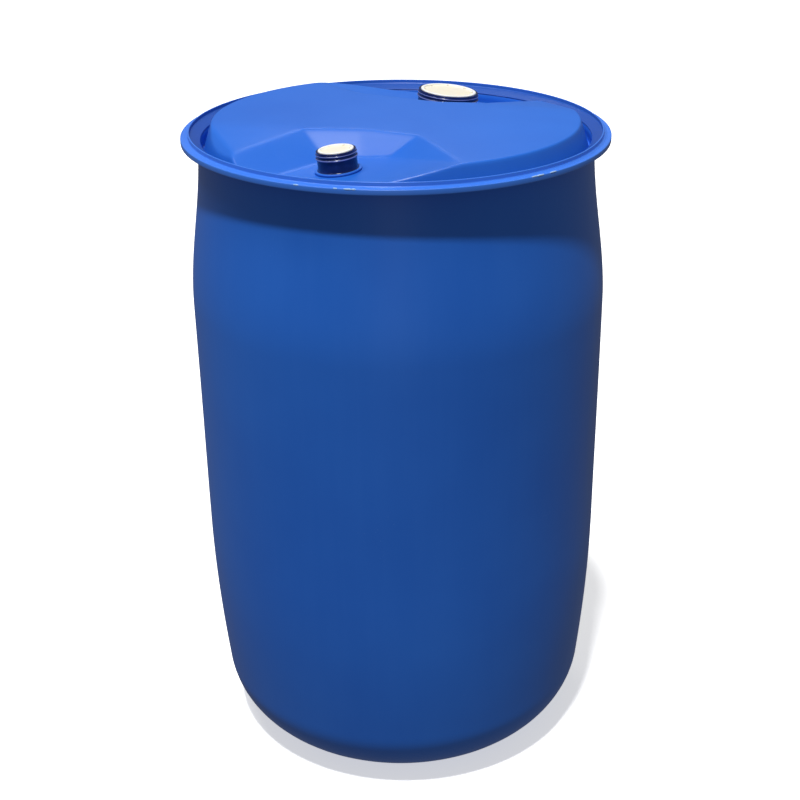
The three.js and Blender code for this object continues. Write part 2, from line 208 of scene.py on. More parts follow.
def rings_of(outline: Outline, segments: int) -> list[np.ndarray]:
    """One ring of points for each point of an outline, or a pole for one on the axis."""
    return [ring_of(r, z, segments if abs(r) > ON_AXIS else 1) for r, z in outline]


def baked(obj: bpy.types.Object) -> bpy.types.Object:
    """Applies an object's modifiers.

    Args:
        obj: an object with modifiers. It's replaced.

    Returns:
        A plain mesh object with the same name.
    """
    graph = bpy.context.evaluated_depsgraph_get()
    mesh = bpy.data.meshes.new_from_object(obj.evaluated_get(graph))
    mesh.name = obj.name
    plain = bpy.data.objects.new(obj.name + "_plain", mesh)
    linked(plain)
    name = obj.name
    bpy.data.objects.remove(obj)
    plain.name = name
    return plain


def placed(obj: bpy.types.Object, matrix: Matrix) -> bpy.types.Object:
    """Moves an object's mesh, and leaves the object itself at the origin.

    Args:
        obj: the object.
        matrix: the move, in metres.

    Returns:
        The same object.
    """
    obj.data.transform(matrix)
    obj.data.update()
    return obj


def joined(first: bpy.types.Object, others: Iterable[bpy.types.Object]) -> bpy.types.Object:
    """Adds the other objects' meshes to the first one's and removes them.

    Args:
        first: the object that is kept.
        others: closed meshes, each with at most one material.

    Returns:
        The first object, with a material slot for each different material.
    """
    work = bmesh.new()
    work.from_mesh(first.data)
    slots = first.data.materials
    for other in others:
        own = other.data.materials[0] if other.data.materials else None
        if own is not None and own.name not in slots:
            slots.append(own)
        start = len(work.faces)
        work.from_mesh(other.data)
        work.faces.ensure_lookup_table()
        for face in work.faces[start:]:
            face.material_index = max(0, slots.find(own.name)) if own else 0
        bpy.data.objects.remove(other)
    work.to_mesh(first.data)
    work.free()
    return first


def outward(obj: bpy.types.Object) -> bpy.types.Object:
    """Turns every face of a closed mesh outwards.

    Args:
        obj: the object.

    Returns:
        The same object.
    """
    work = bmesh.new()
    work.from_mesh(obj.data)
    bmesh.ops.remove_doubles(work, verts=work.verts[:], dist=WELD_DISTANCE)
    bmesh.ops.recalc_face_normals(work, faces=work.faces[:])
    work.to_mesh(obj.data)
    work.free()
    return obj


def softened(obj: bpy.types.Object, sharp_above: float = 40.0) -> bpy.types.Object:
    """Shades a mesh smooth.

    Args:
        obj: the object.
        sharp_above: angle in degrees above which an edge stays sharp.

    Returns:
        The same object.
    """
    obj.data.shade_smooth()
    obj.data.set_sharp_from_angle(angle=math.radians(sharp_above))
    return obj


def dressed(obj: bpy.types.Object, material: bpy.types.Material) -> bpy.types.Object:
    """Gives the whole object one material.

    Args:
        obj: the object.
        material: its only material.

    Returns:
        The same object.
    """
    obj.data.materials.clear()
    obj.data.materials.append(material)
    return obj


def cut(target: bpy.types.Object, cutters: Iterable[bpy.types.Object]) -> bpy.types.Object:
    """Cuts closed solids out of a closed solid.

    Args:
        target: the solid that is cut.
        cutters: the solids that are taken away. They're removed afterwards.

    Returns:
        The cut solid.
    """
    tools = list(cutters)
    for tool in tools:
        modifier = target.modifiers.new("cut_" + tool.name, "BOOLEAN")
        modifier.operation = "DIFFERENCE"
        modifier.solver = "MANIFOLD"
        modifier.object = tool
    result = baked(target)
    for tool in tools:
        bpy.data.objects.remove(tool)
    return result


# ---- Geometry Nodes ------------------------------------------------------------------


class NodeTree:
    """A node tree under construction."""

    tree: bpy.types.NodeTree

    def node(self, kind: str, settings: dict[str, Any], inputs: dict[Any, Any]) -> Any:
        """Adds a node.

        Args:
            kind: the node's type.
            settings: properties, set first.
            inputs: numbers, colours, sockets or values by input name or index.

        Returns:
            The new node.
        """
        node = self.tree.nodes.new(kind)
        for key, value in settings.items():
            setattr(node, key, value)
        self.fill(node, inputs)
        return node

    def fill(self, node: Any, inputs: dict[Any, Any]) -> None:
        """Sets or links a node's sockets.

        Args:
            node: the node.
            inputs: numbers, colours, sockets or values by input name or index.
        """
        for key, value in inputs.items():
            if isinstance(value, Value):
                value = value.socket
            if isinstance(value, bpy.types.NodeSocket):
                self.tree.links.new(value, node.inputs[key])
            else:
                node.inputs[key].default_value = value


class Recipe(NodeTree):
    """A Geometry Nodes tree with named inputs."""

    def __init__(self, name: str) -> None:
        """Starts an empty tree with a geometry input and output.

        Args:
            name: the tree's name.
        """
        self.tree = bpy.data.node_groups.new(name, "GeometryNodeTree")
        face = self.tree.interface
        face.new_socket("Geometry", in_out="INPUT", socket_type="NodeSocketGeometry")
        face.new_socket("Geometry", in_out="OUTPUT", socket_type="NodeSocketGeometry")
        self.source = self.tree.nodes.new("NodeGroupInput")
        self.target = self.tree.nodes.new("NodeGroupOutput")
        self.identifiers: dict[str, str] = {}

    def entries(self, kinds: dict[str, str]) -> list[Any]:
        """Adds named inputs.

        Args:
            kinds: Float, Int or Material by the input's name.

        Returns:
            One socket for each input.
        """
        for name, kind in kinds.items():
            socket = self.tree.interface.new_socket(
                name, in_out="INPUT", socket_type="NodeSocket" + kind,
            )
            self.identifiers[name] = socket.identifier
        return [self.source.outputs[name] for name in kinds]

    def maths(self, operation: str, *values: Any) -> Any:
        """The result of a Math node on numbers or sockets."""
        inputs = dict(enumerate(values))
        return self.node("ShaderNodeMath", {"operation": operation}, inputs).outputs[0]

    def stood_round(
        self, piece: Any, count: Any, radius: Any, angle: Any, scale: Any = (1, 1, 1),
    ) -> Any:
        """Stands copies of a piece round a circle about +Z, each facing the axis.

        Args:
            piece: geometry of one copy.
            count: number of copies.
            radius: radius of the circle.
            angle: each copy's own angle about +Z.
            scale: each copy's own scale.

        Returns:
            The instances.
        """
        line = self.node(
            "GeometryNodeMeshLine", {"mode": "OFFSET"},
            {"Count": count, "Start Location": (0, 0, 0), "Offset": (0, 0, 0)},
        )
        across = self.maths("MULTIPLY", self.maths("COSINE", angle), radius)
        along = self.maths("MULTIPLY", self.maths("SINE", angle), radius)
        spot = self.node("ShaderNodeCombineXYZ", {}, {"X": across, "Y": along})
        points = self.node(
            "GeometryNodeSetPosition", {},
            {"Geometry": line.outputs[0], "Position": spot.outputs[0]},
        )
        facing = self.node("ShaderNodeCombineXYZ", {}, {"Z": angle})
        copies = self.node(
            "GeometryNodeInstanceOnPoints", {},
            {
                "Points": points.outputs[0], "Instance": piece,
                "Rotation": facing.outputs[0], "Scale": scale,
            },
        )
        return copies.outputs[0]

    def finish(self, geometry: Any, material: Any) -> None:
        """Ends the tree in Realize Instances and Set Material.

        Args:
            geometry: socket of the finished geometry.
            material: socket of its material.
        """
        real = self.node("GeometryNodeRealizeInstances", {}, {"Geometry": geometry})
        last = self.node(
            "GeometryNodeSetMaterial", {},
            {"Geometry": real.outputs[0], "Material": material},
        )
        self.tree.links.new(last.outputs[0], self.target.inputs[0])

    def run(self, obj: bpy.types.Object, values: dict[str, Any]) -> bpy.types.Object:
        """Runs the tree on an object.

        Args:
            obj: the object that carries the modifier. It's replaced.
            values: the inputs by name.

        Returns:
            The result as a plain mesh object.
        """
        modifier = obj.modifiers.new(self.tree.name, "NODES")
        modifier.node_group = self.tree
        for name, value in values.items():
            modifier[self.identifiers[name]] = value
        return baked(obj)


def empty_mesh(name: str) -> bpy.types.Object:
    """An object without points, for a tree that makes its own geometry."""
    return linked(bpy.data.objects.new(name, bpy.data.meshes.new(name)))


def outline_curve(name: str, outline: Outline, shift: float) -> bpy.types.Object:
    """Makes a closed flat curve. A sweep about +Z turns its height over.

    Args:
        name: the new object's name.
        outline: radius and height of each point, in millimetres.
        shift: radius of the circle that the curve is swept round.

    Returns:
        The curve, in metres.
    """
    data = bpy.data.curves.new(name, "CURVE")
    data.dimensions = "2D"
    data.fill_mode = "NONE"
    spline = data.splines.new("POLY")
    spline.points.add(len(outline) - 1)
    for point, (radius, height) in zip(spline.points, outline):
        point.co = ((radius - shift) * MM, -height * MM, 0.0, 1.0)
    spline.use_cyclic_u = True
    return linked(bpy.data.objects.new(name, data))


def sweep_recipe() -> Recipe:
    """Plans a sweep round a circle about +Z.

    Returns:
        A tree that sweeps the object's own closed curve.
    """
    recipe = Recipe("sweep_round")
    radius, steps, material = recipe.entries({
        "Radius": "Float", "Steps": "Int", "Material": "Material",
    })
    circle = recipe.node(
        "GeometryNodeCurvePrimitiveCircle", {"mode": "RADIUS"},
        {"Resolution": steps, "Radius": radius},
    )
    swept = recipe.node(
        "GeometryNodeCurveToMesh", {},
        {"Curve": circle.outputs[0], "Profile Curve": recipe.source.outputs["Geometry"]},
    )
    recipe.finish(swept.outputs[0], material)
    return recipe


def lug_recipe() -> Recipe:
    """Plans a circle of small rounded blocks about +Z.

    Returns:
        A tree that spaces them evenly.
    """
    recipe = Recipe("blocks_round")
    count, radius, length, width, height, start, material = recipe.entries({
        "Count": "Int", "Radius": "Float", "Length": "Float", "Width": "Float",
        "Height": "Float", "Start": "Float", "Material": "Material",
    })
    size = recipe.node("ShaderNodeCombineXYZ", {}, {"X": length, "Y": width, "Z": height})
    block = recipe.node(
        "GeometryNodeMeshCube", {},
        {"Size": size.outputs[0], "Vertices X": 4, "Vertices Y": 4, "Vertices Z": 4},
    )
    smooth = recipe.node(
        "GeometryNodeSubdivisionSurface", {}, {"Mesh": block.outputs["Mesh"], "Level": 1},
    )
    index = recipe.node("GeometryNodeInputIndex", {}, {}).outputs[0]
    share = recipe.maths("DIVIDE", index, count)
    angle = recipe.maths("MULTIPLY_ADD", share, FULL_TURN, start)
    recipe.finish(recipe.stood_round(smooth.outputs[0], count, radius, angle), material)
    return recipe


def flash_recipe() -> Recipe:
    """Plans an arc of small slivers of moulding flash about +Z.

    Returns:
        A tree that strews them at random, fixed by its seed.
    """
    recipe = Recipe("flash_slivers")
    count, radius, first, last, size, seed, material = recipe.entries({
        "Count": "Int", "Radius": "Float", "First angle": "Float", "Last angle": "Float",
        "Size": "Float", "Seed": "Int", "Material": "Material",
    })
    sliver = recipe.node(
        "GeometryNodeMeshIcoSphere", {}, {"Radius": size, "Subdivisions": 2},
    )
    place = recipe.node(
        "FunctionNodeRandomValue", {"data_type": "FLOAT"}, {2: first, 3: last, "Seed": seed},
    )
    stretch = recipe.node(
        "FunctionNodeRandomValue", {"data_type": "FLOAT_VECTOR"},
        {0: THINNEST_SLIVER, 1: LONGEST_SLIVER, "Seed": seed},
    )
    slivers = recipe.stood_round(
        sliver.outputs["Mesh"], count, radius, place.outputs[1], stretch.outputs[0],
    )
    recipe.finish(slivers, material)
    return recipe


# ---- Shader tools --------------------------------------------------------------------


class Value:
    """A shader socket that takes part in Python arithmetic."""

    def __init__(self, paint: "Paint", socket: Any) -> None:
        """Wraps an output socket of a material under construction."""
        self.paint = paint
        self.socket = socket

    def apply(self, operation: str, first: Any, second: Any) -> "Value":
        """Adds a Math node on two values or numbers."""
        node = self.paint.node("ShaderNodeMath", {"operation": operation}, {0: first, 1: second})
        return Value(self.paint, node.outputs[0])

    def __add__(self, other: Any) -> "Value":
        """Adds."""
        return self.apply("ADD", self, other)

    __radd__ = __add__

    def __sub__(self, other: Any) -> "Value":
        """Subtracts another value from this one."""
        return self.apply("SUBTRACT", self, other)

    def __rsub__(self, other: Any) -> "Value":
        """Subtracts this value from another one."""
        return self.apply("SUBTRACT", other, self)

    def __mul__(self, other: Any) -> "Value":
        """Multiplies."""
        return self.apply("MULTIPLY", self, other)

    __rmul__ = __mul__

    def __truediv__(self, other: Any) -> "Value":
        """Divides this value by another one."""
        return self.apply("DIVIDE", self, other)

    def __pow__(self, other: Any) -> "Value":
        """Raises this value to a power."""
        return self.apply("POWER", self, other)

    def smaller(self, other: Any) -> "Value":
        """The smaller of this and another value."""
        return self.apply("MINIMUM", self, other)

    def ramp(self, low: float, high: float) -> "Value":
        """A soft ramp.

        Args:
            low: where the ramp is 0.
            high: where it's 1. It may be below low.

        Returns:
            The ramp's value, from 0 to 1.
        """
        flip = high < low
        node = self.paint.node(
            "ShaderNodeMapRange", {"interpolation_type": "SMOOTHSTEP"},
            {
                "Value": self, "From Min": min(low, high), "From Max": max(low, high),
                "To Min": 1.0 if flip else 0.0, "To Max": 0.0 if flip else 1.0,
            },
        )
        return Value(self.paint, node.outputs[0])


class Paint(NodeTree):
    """A material under construction round one Principled shader."""

    def __init__(self, name: str) -> None:
        """Starts a material with its shader and its object coordinates.

        Args:
            name: the material's name.
        """
        self.material = bpy.data.materials.new(name)
        self.material.use_nodes = True
        self.tree = self.material.node_tree
        self.tree.nodes.clear()
        self.shader = self.node("ShaderNodeBsdfPrincipled", {}, {})
        self.node("ShaderNodeOutputMaterial", {}, {"Surface": self.shader.outputs[0]})
        self.place = self.node("ShaderNodeTexCoord", {}, {}).outputs["Object"]

    def stretched(self, scale: Sequence[float], turn: Sequence[float] = (0, 0, 0)) -> Any:
        """Object coordinates for a pattern that is longer one way.

        Args:
            scale: scale along each axis.
            turn: turn about each axis, in radians.

        Returns:
            The coordinates' socket.
        """
        mapping = self.node(
            "ShaderNodeMapping", {},
            {"Vector": self.place, "Scale": tuple(scale), "Rotation": tuple(turn)},
        )
        return mapping.outputs[0]

    def centred(self, matrix: Matrix) -> Any:
        """Coordinates about a neck's own axis.

        Args:
            matrix: the neck's place. Its floor point is the origin.

        Returns:
            The coordinates' socket.
        """
        turn = matrix.inverted()
        mapping = self.node(
            "ShaderNodeMapping", {"vector_type": "POINT"},
            {
                "Vector": self.place, "Location": turn.to_translation(),
                "Rotation": turn.to_euler(),
            },
        )
        return mapping.outputs[0]

    def parts(self, vector: Any) -> tuple[Value, Value, Value]:
        """The three parts of a vector."""
        split = self.node("ShaderNodeSeparateXYZ", {}, {"Vector": vector})
        return tuple(Value(self, output) for output in split.outputs)

    def noise(
        self, scale: float, detail: float = 3.0, rough: float = 0.5, at: Any = None,
    ) -> Value:
        """Cloudy noise.

        Args:
            scale: waves per metre.
            detail: number of finer layers.
            rough: how strong the finer layers are.
            at: coordinates other than the object's own.

        Returns:
            A value from 0 to 1.
        """
        node = self.node(
            "ShaderNodeTexNoise", {},
            {
                "Vector": self.place if at is None else at, "Scale": scale,
                "Detail": detail, "Roughness": rough,
            },
        )
        return Value(self, node.outputs["Fac"])

    def cells(self, scale: float) -> Value:
        """Distance to the nearest of many scattered points."""
        node = self.node("ShaderNodeTexVoronoi", {}, {"Vector": self.place, "Scale": scale})
        return Value(self, node.outputs["Distance"])

    def mix(self, share: Any, first: Any, second: Any) -> Any:
        """Mixes two colours: share 0 gives the first one."""
        inputs = {MIX_SHARE: share, MIX_FIRST: first, MIX_SECOND: second}
        return self.node("ShaderNodeMix", {"data_type": "RGBA"}, inputs).outputs[MIX_COLOUR]

    def finish(self, inputs: dict[str, Any], bumps: Sequence[tuple[Value, float, float]]) -> Any:
        """Sets the shader's sockets and adds its bumps.

        Args:
            inputs: numbers, colours or links by the shader's socket names.
            bumps: height, strength and distance in metres of each bump, coarse to fine.

        Returns:
            The material.
        """
        self.fill(self.shader, inputs)
        normal = None
        for height, strength, distance in bumps:
            sockets = {"Height": height, "Strength": strength, "Distance": distance}
            if normal is not None:
                sockets["Normal"] = normal
            normal = self.node("ShaderNodeBump", {}, sockets).outputs[0]
        if normal is not None:
            self.tree.links.new(normal, self.shader.inputs["Normal"])
        return self.material


# ---- Sizes that pieces share ---------------------------------------------------------


@dataclass(frozen=True)
class Facet:
    """A sloping flat in the head: a point on it, the way it falls and how steeply."""

    x: float
    y: float
    height: float
    falls: float
    tilt: float

    def at(self, x: np.ndarray, y: np.ndarray) -> np.ndarray:
        """Height of the facet's plane.

        Args:
            x: where, across.
            y: where, along.

        Returns:
            One height for each point.
        """
        way = math.radians(self.falls)
        along = (x - self.x) * math.cos(way) + (y - self.y) * math.sin(way)
        return self.height - math.tan(math.radians(self.tilt)) * along


@dataclass(frozen=True)
class Bead:
    """A rounded band round a neck."""

    drop: float
    proud: float
    half_width: float


@dataclass(frozen=True)
class Closure:
    """One neck's place and the sizes that its neck, plug and gasket share."""

    name: str
    bearing: float
    half_turn: bool
    side: Facet
    right: Facet
    apron: Facet
    height: float
    core_radius: float
    core_wall: float
    thread_radius: float
    pitch: float
    turns: float
    seat_width: float
    head_thickness: float
    mouth_wall: float
    flange_width: float
    spigot_wall: float
    recess_border: float
    recess_depth: float
    lugs: int
    beads: tuple[Bead, ...]
    head_proud: float = 1.0
    flange_thickness: float = 2.4
    spigot_depth: float = 9.0
    gap: float = 0.3
    thread_clearance: float = 0.5
    gasket_thickness: float = 2.0
    lead_in: float = 3.0
    tail: float = 5.0
    rim_distance: float = 178.0
    floor_height: float = 901.5
    lean: float = 5.5

    @property
    def head_radius(self) -> float:
        """Radius of the plug's head."""
        return self.core_radius + self.seat_width

    @property
    def barrel_radius(self) -> float:
        """Outside radius of the neck's barrel."""
        return self.head_radius + self.gap + self.mouth_wall

    @property
    def flange_radius(self) -> float:
        """Radius of the neck's weld flange."""
        return self.barrel_radius + self.flange_width

    @property
    def bore_radius(self) -> float:
        """Radius inside the neck's thread."""
        return self.core_radius + self.thread_clearance

    @property
    def spigot_radius(self) -> float:
        """Radius of the part of the neck that reaches down through the head."""
        return self.bore_radius + self.thread_radius + self.spigot_wall

    @property
    def head_top(self) -> float:
        """Height of the plug's top face above the pocket's floor."""
        return self.height + self.head_proud

    @property
    def seat(self) -> float:
        """Height of the ledge under the gasket."""
        return self.head_top - self.head_thickness - self.gasket_thickness - 2 * self.gap

    @property
    def matrix(self) -> Matrix:
        """The place of a piece made about its own axis: on the pocket's floor, in metres.

        Returns:
            The matrix that puts it there.
        """
        way = math.radians(self.bearing)
        spot = Vector((math.cos(way), math.sin(way), 0.0)) * self.rim_distance
        spot.z = self.floor_height
        lean = Matrix.Rotation(math.radians(-self.lean), 4, "Y")
        place = Matrix.Translation(spot * MM) @ lean
        turn = Matrix.Rotation(math.pi if self.half_turn else 0.0, 4, "Z")
        return turn @ place


VENT = Closure(
    name="vent", bearing=-114.5, half_turn=False,
    side=Facet(-46.0, -77.0, 932.5, -114.4, 42.2),
    right=Facet(28.0, -110.6, 932.5, -156.7, 32.1),
    apron=Facet(76.0, -232.0, 930.0, 166.7, 12.4),
    height=27.5, core_radius=19.6, core_wall=2.8, thread_radius=1.4, pitch=4.0, turns=3.0,
    seat_width=3.0, head_thickness=4.5, mouth_wall=2.3, flange_width=4.8, spigot_wall=3.0,
    recess_border=2.8, recess_depth=1.4, lugs=6,
    beads=(Bead(8.9, 1.7, 1.7), Bead(3.9, 1.1, 1.0)),
)
FILL = Closure(
    name="fill", bearing=-114.5, half_turn=True,
    side=Facet(-46.0, -82.0, 932.5, -118.0, 42.0),
    right=Facet(50.0, -133.0, 932.0, -142.3, 32.0),
    apron=Facet(115.0, -217.0, 930.0, 166.7, 12.4),
    height=27.5, core_radius=35.8, core_wall=3.4, thread_radius=2.1, pitch=6.0, turns=2.5,
    seat_width=4.3, head_thickness=5.0, mouth_wall=3.0, flange_width=5.1, spigot_wall=4.1,
    recess_border=4.0, recess_depth=1.8, lugs=8,
    beads=(Bead(9.5, 1.8, 1.8), Bead(4.3, 1.2, 1.1)),
)


def mouldings(closure: Closure, height: np.ndarray, segments: int) -> np.ndarray:
    """How far the thread stands out, from 0 to 1, round a ring at one height.

    Args:
        closure: the neck's sizes.
        height: height of the ring above the pocket's floor.
        segments: number of points round.

    Returns:
        One share for each point.
    """
    angle = np.arange(segments) / segments
    phase = (height - closure.seat) / closure.pitch - angle
    wave = 0.5 + 0.5 * np.cos(FULL_TURN * phase)
    return wave ** CREST_SHARPNESS


# ---- Drum body -----------------------------------------------------------------------


@dataclass
class DrumBody:
    """The blow-moulded shell: dished base, tapered wall, drawn-in shoulder and faceted head."""

    radius: float = 290.5
    wall: float = 4.0
    dish_radius: float = 104.0
    dish_depth: float = 6.0
    dish_slope: float = 12.0
    corner_radius: float = 106.0
    corner_sweep: float = 87.0
    taper_inset: float = 12.6
    taper_top: float = 338.0
    shoulder_bottom: float = 680.5
    rim_top: float = 907.2
    waist_inset: float = 22.0
    rim_thickness: float = 4.0
    gutter: float = 890.0
    gutter_radius: float = 262.0
    plateau_radius: float = 249.0
    plateau_height: float = 930.0
    crown: float = 3.5
    edge_blend: float = 1.7
    valley_blend: float = 1.3
    seam_height: float = 0.35
    seam_angle: float = 0.22
    seam_columns: tuple[float, ...] = (-2.0, -4 / 3, -2 / 3, 2 / 3, 4 / 3, 2.0)
    ripple: float = 0.35
    ripple_starts: tuple[float, float] = (20.0, 160.0)
    ripple_ends: tuple[float, float] = (820.0, 890.0)
    wave_lobes: tuple[int, int] = (3, 5)
    wave_lengths: tuple[float, float, float] = (130.0, 97.0, 71.0)
    wave_shift: float = 0.8
    wave_shares: tuple[float, float] = (0.5, 0.6)
    columns: int = 384
    head_rings: tuple[int, int, int] = (15, 104, 8)
    edge_zone: float = 3.0
    hub_zone: float = 56.0
    hub: float = 6.0
    gutter_corner: tuple[tuple[float, float], ...] = ((0.0, 9.0), (0.0, 1.0), (0.6, 0.2))
    inner_columns: int = 96
    inner_rings: int = 50
    inner_hub: float = 8.0
    slope_wall: float = 1.15
    sharp_above: float = 50.0
    corner_steps: int = 18
    taper_steps: int = 12
    barrel_steps: int = 7
    shoulder_steps: int = 20
    dish_round: float = 5.0
    land_width: float = 40.0
    base_spacing: float = 26.0
    rim_round: float = 0.8
    rim_blend: float = 2.4
    left: Facet = Facet(-124.6, -69.0, 932.5, -61.6, 31.4)
    back: Facet = Facet(-46.0, -77.0, 932.5, -95.8, 39.7)
    slope: Facet = Facet(-248.0, -35.0, 930.0, -113.5, 7.9)
    slope_end: float = -118.0
    slope_fade: float = 6.0
    out_of_reach: float = 300.0
    chamfer: Facet = Facet(-248.0, -35.0, 930.0, -152.4, 43.0)
    pad_margin: float = 3.0
    pad_wall: float = 3.0
    pad_blend: float = 0.5
    hole_segments: int = 100
    angles: np.ndarray = field(init=False)

    def __post_init__(self) -> None:
        """Spaces the columns evenly, with a few more at the two parting lines."""
        even = np.arange(self.columns) * 360.0 / self.columns
        close = np.array(self.seam_columns) * self.seam_angle
        extra = np.concatenate([close % 360.0, 180.0 + close])
        self.angles = np.radians(np.sort(np.concatenate([even, extra])))

    def side_profile(self, inset: float) -> Outline:
        """Draws the side from the base's land to the waist.

        Args:
            inset: how far inside the outer skin it runs.

        Returns:
            Radius and height of each point, from the bottom up.
        """
        sweep = math.radians(self.corner_sweep)
        axis = self.radius - self.taper_inset - self.corner_radius * math.sin(sweep)
        arc = self.corner_radius - inset
        outer = self.radius - inset
        points: Outline = []
        for turn in np.linspace(0.0, sweep, self.corner_steps + 1):
            points.append((
                axis + arc * math.sin(turn), self.corner_radius - arc * math.cos(turn),
            ))
        start = points[-1][1]
        for share in np.linspace(0.0, 1.0, self.taper_steps + 1)[1:]:
            radius = outer - self.taper_inset * (1 - share) ** 2
            points.append((radius, start + (self.taper_top - start) * share))
        heights = np.linspace(self.taper_top, self.shoulder_bottom, self.barrel_steps + 1)
        points += [(outer, height) for height in heights[1:]]
        for share in np.linspace(0.0, 1.0, self.shoulder_steps + 1)[1:]:
            draw = share * share * (3 - 2 * share)
            height = self.shoulder_bottom + (self.rim_top - self.shoulder_bottom) * share
            points.append((outer - self.waist_inset * draw, height))
        return points

    def base_profile(self, lift: float) -> Outline:
        """Draws the dished base from the middle to the standing land.

        Args:
            lift: how far above the underside it runs.

        Returns:
            Radius and height of each point, from the axis outwards.
        """
        land = self.dish_radius + self.dish_slope
        corners = [
            (0.0, self.dish_depth + lift), (self.dish_radius, self.dish_depth + lift),
            (land, lift), (land + self.land_width, lift),
        ]
        return refined(rounded(corners, self.dish_round, closed=False), self.base_spacing)

    def pocket(self, closure: Closure, x: np.ndarray, y: np.ndarray) -> np.ndarray:
        """Height of everything that is sunk into the head round one neck.

        Args:
            closure: the neck's place and facets.
            x: where, across.
            y: where, along.

        Returns:
            One height for each point.
        """
        if closure.half_turn:
            x, y = -x, -y
        way = math.radians(closure.bearing)
        neck_x = closure.rim_distance * math.cos(way)
        neck_y = closure.rim_distance * math.sin(way)
        floor = Facet(neck_x, neck_y, closure.floor_height, 180.0, closure.lean)
        well = floor.at(x, y)
        for facet in (closure.apron, self.left, self.back, closure.side, closure.right):
            well = smooth_max(well, facet.at(x, y), self.valley_blend)
        beyond = smooth_step(
            self.slope_end - self.slope_fade, self.slope_end + self.slope_fade, x,
        )
        slope = self.slope.at(x, y) + self.out_of_reach * beyond
        sunk = smooth_min(well, slope, self.edge_blend)
        sunk = smooth_min(sunk, self.chamfer.at(x, y), self.edge_blend)
        lean = math.cos(math.radians(closure.lean))
        across = np.hypot((x - neck_x) * lean, y - neck_y)
        pad = closure.flange_radius + self.pad_margin
        wall = self.pad_wall * np.maximum(0.0, across - pad)
        return smooth_min(sunk, floor.at(x, y) + wall, self.pad_blend)

    def head_height(self, x: np.ndarray, y: np.ndarray, grow: float = 0.0) -> np.ndarray:
        """Height of the head.

        Args:
            x: where, across.
            y: where, along.
            grow: how far the steep side is drawn in, for the inside.

        Returns:
            One height for each point.
        """
        radius = np.hypot(x, y)
        crown = self.crown * (1 - np.clip(radius / self.plateau_radius, 0, 1) ** 2)
        run = self.gutter_radius - self.plateau_radius
        steep = (self.plateau_height - self.gutter) / run
        side = self.plateau_height - steep * (radius + grow - self.plateau_radius)
        top = smooth_min(self.plateau_height + crown, side, self.rim_blend)
        for closure in (VENT, FILL):
            top = smooth_min(top, self.pocket(closure, x, y), self.edge_blend)
        return np.maximum(top, self.gutter)

    def waviness(self, height: float) -> np.ndarray:
        """Unevenness of the blown wall: a few broad lobes.

        Args:
            height: the height that it's wanted at.

        Returns:
            One share for each column.
        """
        few, many = self.wave_lobes
        twist, rise, other_twist = self.wave_lengths
        wave = np.cos(few * self.angles + height / twist)
        wave = wave * np.sin(height / rise + self.wave_shift)
        finer = np.sin(many * self.angles - height / other_twist)
        return 1 + self.wave_shares[0] * (wave + self.wave_shares[1] * finer)

    def wall_rows(self) -> list[np.ndarray]:
        """Lays out the wall, with its waviness and its two parting lines.

        Returns:
            Rings of points from the bottom up.
        """
        gap = np.abs((np.degrees(self.angles) + 90.0) % 180.0 - 90.0)
        seam = self.seam_height * (1 - smooth_step(0.0, self.seam_angle * 2, gap))
        rows = []
        for radius, height in self.side_profile(0.0)[1:]:
            share = float(smooth_step(*self.ripple_starts, np.array(height)))
            share *= float(1 - smooth_step(*self.ripple_ends, np.array(height)))
            own = radius + share * (seam - self.ripple * self.waviness(height))
            rows.append(self.row(own, height))
        return rows

    def outside(self) -> bpy.types.Object:
        """The outer skin as one closed solid.

        Returns:
            The solid, without its hollow and holes.
        """
        base = self.base_profile(0.0)
        rows = [np.array([[0.0, 0.0, base[0][1]]])]
        rows += [self.row(radius, height) for radius, height in base[1:]]
        rows += self.wall_rows()
        waist = self.radius - self.waist_inset
        inner = waist - self.rim_thickness
        rim = [
            (waist - self.rim_round, self.rim_top), (inner + self.rim_round, self.rim_top),
            (inner, self.rim_top - self.rim_round),
        ]
        rim += [(inner - run, self.gutter + rise) for run, rise in self.gutter_corner]
        rows += [self.row(radius, height) for radius, height in rim]
        edge = self.plateau_radius - self.edge_zone
        outer_rings, facet_rings, hub_rings = self.head_rings
        reach = np.concatenate([
            np.linspace(self.gutter_radius, edge, outer_rings),
            np.linspace(edge, self.hub_zone, facet_rings)[1:],
            np.linspace(self.hub_zone, self.hub, hub_rings)[1:],
        ])
        for radius in reach:
            x, y = radius * np.cos(self.angles), radius * np.sin(self.angles)
            rows.append(self.row(radius, self.head_height(x, y)))
        top = self.head_height(np.zeros(1), np.zeros(1))[0]
        rows.append(np.array([[0.0, 0.0, top]]))
        return grid_object("drum_shell", rows, loop=False)

    def row(self, radius: Any, height: Any) -> np.ndarray:
        """One ring of points on the outer skin's columns."""
        x, y = radius * np.cos(self.angles), radius * np.sin(self.angles)
        return np.stack([x, y, np.broadcast_to(height, x.shape)], axis=1)

    def inside(self) -> bpy.types.Object:
        """The hollow as one closed solid.

        Returns:
            The solid that is cut out of the outer skin.
        """
        count = self.inner_columns
        top = self.gutter - 2 * self.wall
        outline = self.base_profile(self.wall)[1:]
        outline += [spot for spot in self.side_profile(self.wall)[1:] if spot[1] < top]
        edge = self.gutter_radius - self.wall
        outline.append((edge + self.wall, top))
        rows = [np.array([[0.0, 0.0, self.dish_depth + self.wall]])]
        rows += rings_of(outline, count)
        for radius in np.linspace(edge, self.inner_hub, self.inner_rings):
            row = ring_of(radius, 0.0, count)
            height = self.head_height(row[:, 0], row[:, 1], self.wall)
            rows.append(ring_of(radius, height - self.wall * self.slope_wall, count))
        rows.append(np.array([[0.0, 0.0, self.plateau_height + self.crown - self.wall]]))
        return grid_object("drum_hollow", rows, loop=False)

